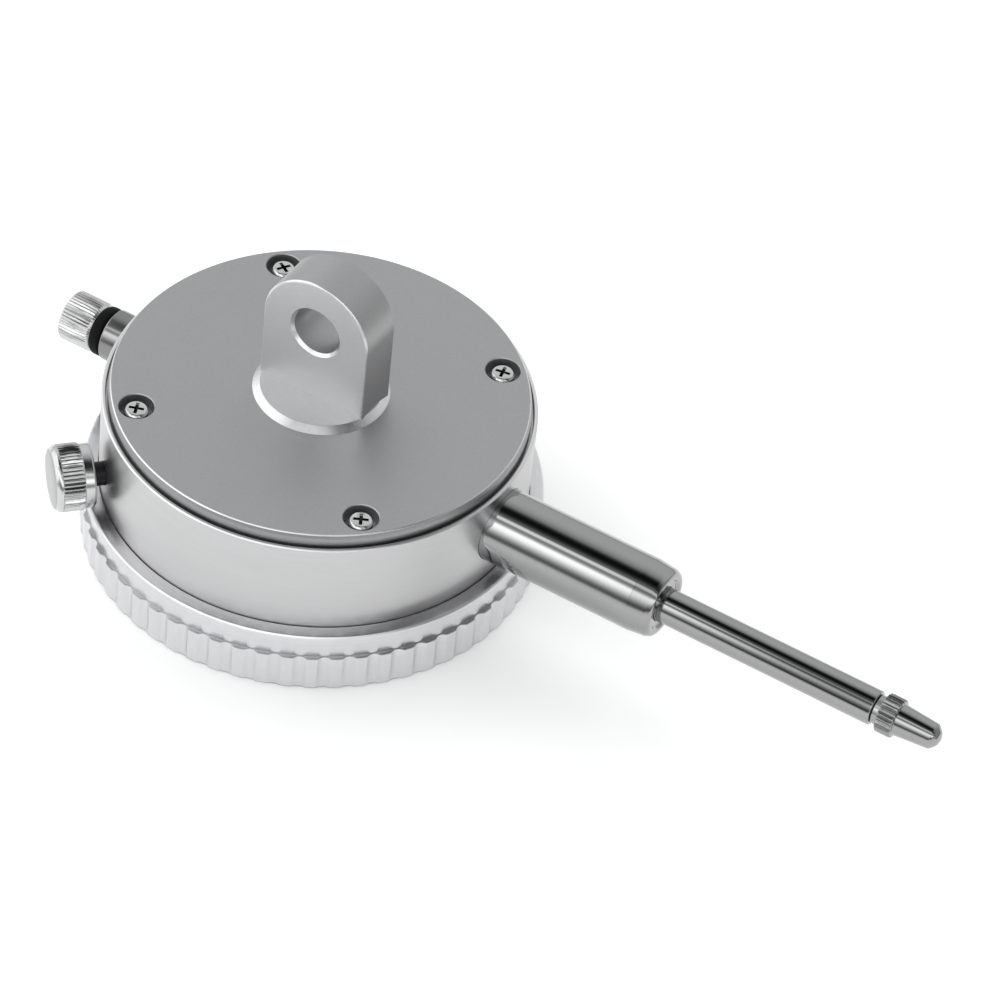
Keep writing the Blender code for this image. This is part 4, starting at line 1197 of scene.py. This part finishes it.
def build_world():
    """Studio surroundings: soft boxes that run along X, set as bands by angle from the horizon behind."""
    world = bpy.data.worlds.new("studio")
    bpy.context.scene.world = world
    world.use_nodes = True
    tree = world.node_tree
    tree.nodes.clear()
    output = add_node(tree, "ShaderNodeOutputWorld")
    background = add_node(tree, "ShaderNodeBackground")
    wire(tree, background.outputs[0], output.inputs[0])
    direction = add_node(tree, "ShaderNodeTexCoord").outputs["Generated"]
    split = add_node(tree, "ShaderNodeSeparateXYZ")
    wire(tree, direction, split.inputs[0])
    x, y, z = split.outputs
    angle = maths(tree, "ARCTAN2", z, y)
    share = remap(tree, angle, 0.0, math.pi, 0.0, 1.0)
    ramp = add_node(tree, "ShaderNodeValToRGB")
    wire(tree, share, ramp.inputs[0])
    bands = (
        (0, 0.74), (20, 0.84), (38, 0.89), (47, 0.86), (55, 0.80), (63, 0.65), (71, 0.42), (78, 0.10),
        (84, 0.012), (94, 0.012), (100, 0.06), (106.5, 0.24), (111, 0.40), (113.5, 1.7), (119.5, 1.75),
        (123, 0.6), (128, 0.55), (133, 1.3), (136, 2.3), (139, 3.0), (147, 2.7), (153, 2.05), (160, 1.25),
        (166.6, 0.66), (173, 0.27), (180, 0.25),
    )
    top = 3.0
    elements = ramp.color_ramp.elements
    while len(elements) > 1:
        elements.remove(elements[-1])
    for i, (degrees, level) in enumerate(bands):
        item = elements[0] if i == 0 else elements.new(degrees / 180)
        item.position = degrees / 180
        value = level / top
        item.color = (value * 0.985, value * 0.995, value, 1.0)
    begin = remap(tree, x, -0.30, -0.26, 0.0, 0.70)
    near_end = maths(tree, "MULTIPLY", begin, remap(tree, x, -0.22, -0.12, 1.0, 0.4))
    bright = remap(tree, share, 0.58, 0.62, 0.0, 1.0)
    fade = maths(tree, "SUBTRACT", 1.0, maths(tree, "MULTIPLY", bright, near_end))
    under = remap(tree, z, -0.02, 0.0, 1.0, 0.0)
    level = add_node(tree, "ShaderNodeMix", data_type="RGBA")
    in_front = remap(tree, y, 0.10, 0.45, 1.0, 0.0)
    left = maths(tree, "MULTIPLY", remap(tree, x, -0.54, -0.40, 1.0, 0.0), in_front)
    behind = remap(tree, y, -0.15, 0.10, 0.0, 1.0)
    right = maths(tree, "MULTIPLY", remap(tree, x, 0.40, 0.75, 0.0, 0.75), behind)
    sides = ramp.outputs[0]
    for share_of_side, brightness in ((left, 1.5), (right, 0.33)):
        side = add_node(tree, "ShaderNodeMix", data_type="RGBA")
        wire(tree, share_of_side, side.inputs["Factor"])
        wire(tree, sides, side.inputs["A"])
        side.inputs["B"].default_value = (brightness / top, brightness / top, brightness / top, 1.0)
        sides = side.outputs["Result"]
    wire(tree, under, level.inputs["Factor"])
    wire(tree, sides, level.inputs["A"])
    level.inputs["B"].default_value = (0.25, 0.25, 0.25, 1.0)
    wire(tree, level.outputs["Result"], background.inputs["Color"])
    wire(tree, maths(tree, "MULTIPLY", fade, top), background.inputs["Strength"])


def add_light(name, location, target, size, power, colour, glossy):
    data = bpy.data.lights.new(name, "AREA")
    data.shape = "RECTANGLE"
    data.size, data.size_y = size
    data.energy = power
    data.color = colour
    ob = bpy.data.objects.new(name, data)
    bpy.context.scene.collection.objects.link(ob)
    ob.location = location
    ob.rotation_euler = (Vector(target) - Vector(location)).to_track_quat("-Z", "Y").to_euler()
    ob.visible_glossy = glossy
    ob.visible_camera = False


def build_camera():
    """A long lens, to the right of the front and well above it, rolled a little."""
    azimuth, elevation, roll = (math.radians(v) for v in (26.834, 43.643, 6.772))
    level = math.cos(elevation)
    back = Vector((math.sin(azimuth) * level, -math.cos(azimuth) * level, math.sin(elevation)))
    right = Vector((math.cos(azimuth), math.sin(azimuth), 0))
    up = back.cross(right)
    upright = Matrix((right, up, back)).transposed()
    camera = bpy.data.objects.new("camera", bpy.data.cameras.new("camera"))
    bpy.context.scene.collection.objects.link(camera)
    target = Vector((21.906, 8.528, 10.0))
    distance = 577.462
    turn = upright @ Matrix.Rotation(roll, 3, "Z")
    camera.matrix_world = Matrix.Translation((target + distance * back) * MM) @ turn.to_4x4()
    camera.data.lens = 167.13
    camera.data.sensor_width = 36.0
    camera.data.clip_start = 0.05
    camera.data.clip_end = 20.0
    bpy.context.scene.camera = camera


build_case()
build_cover()
build_cover_screws()
build_stem()
build_rod()
build_fittings()
build_bezel()
build_dial()
build_hands()
build_knob()
build_spring()
dress_inside()
build_floor()
build_world()
add_light("overhead", (-0.35, 0.55, 1.1), (0.02, 0.0, 0.0), (1.8, 1.4), 7.2, (1.0, 0.998, 0.99), False)
build_camera()
bpy.context.scene.view_settings.view_transform = "Standard"
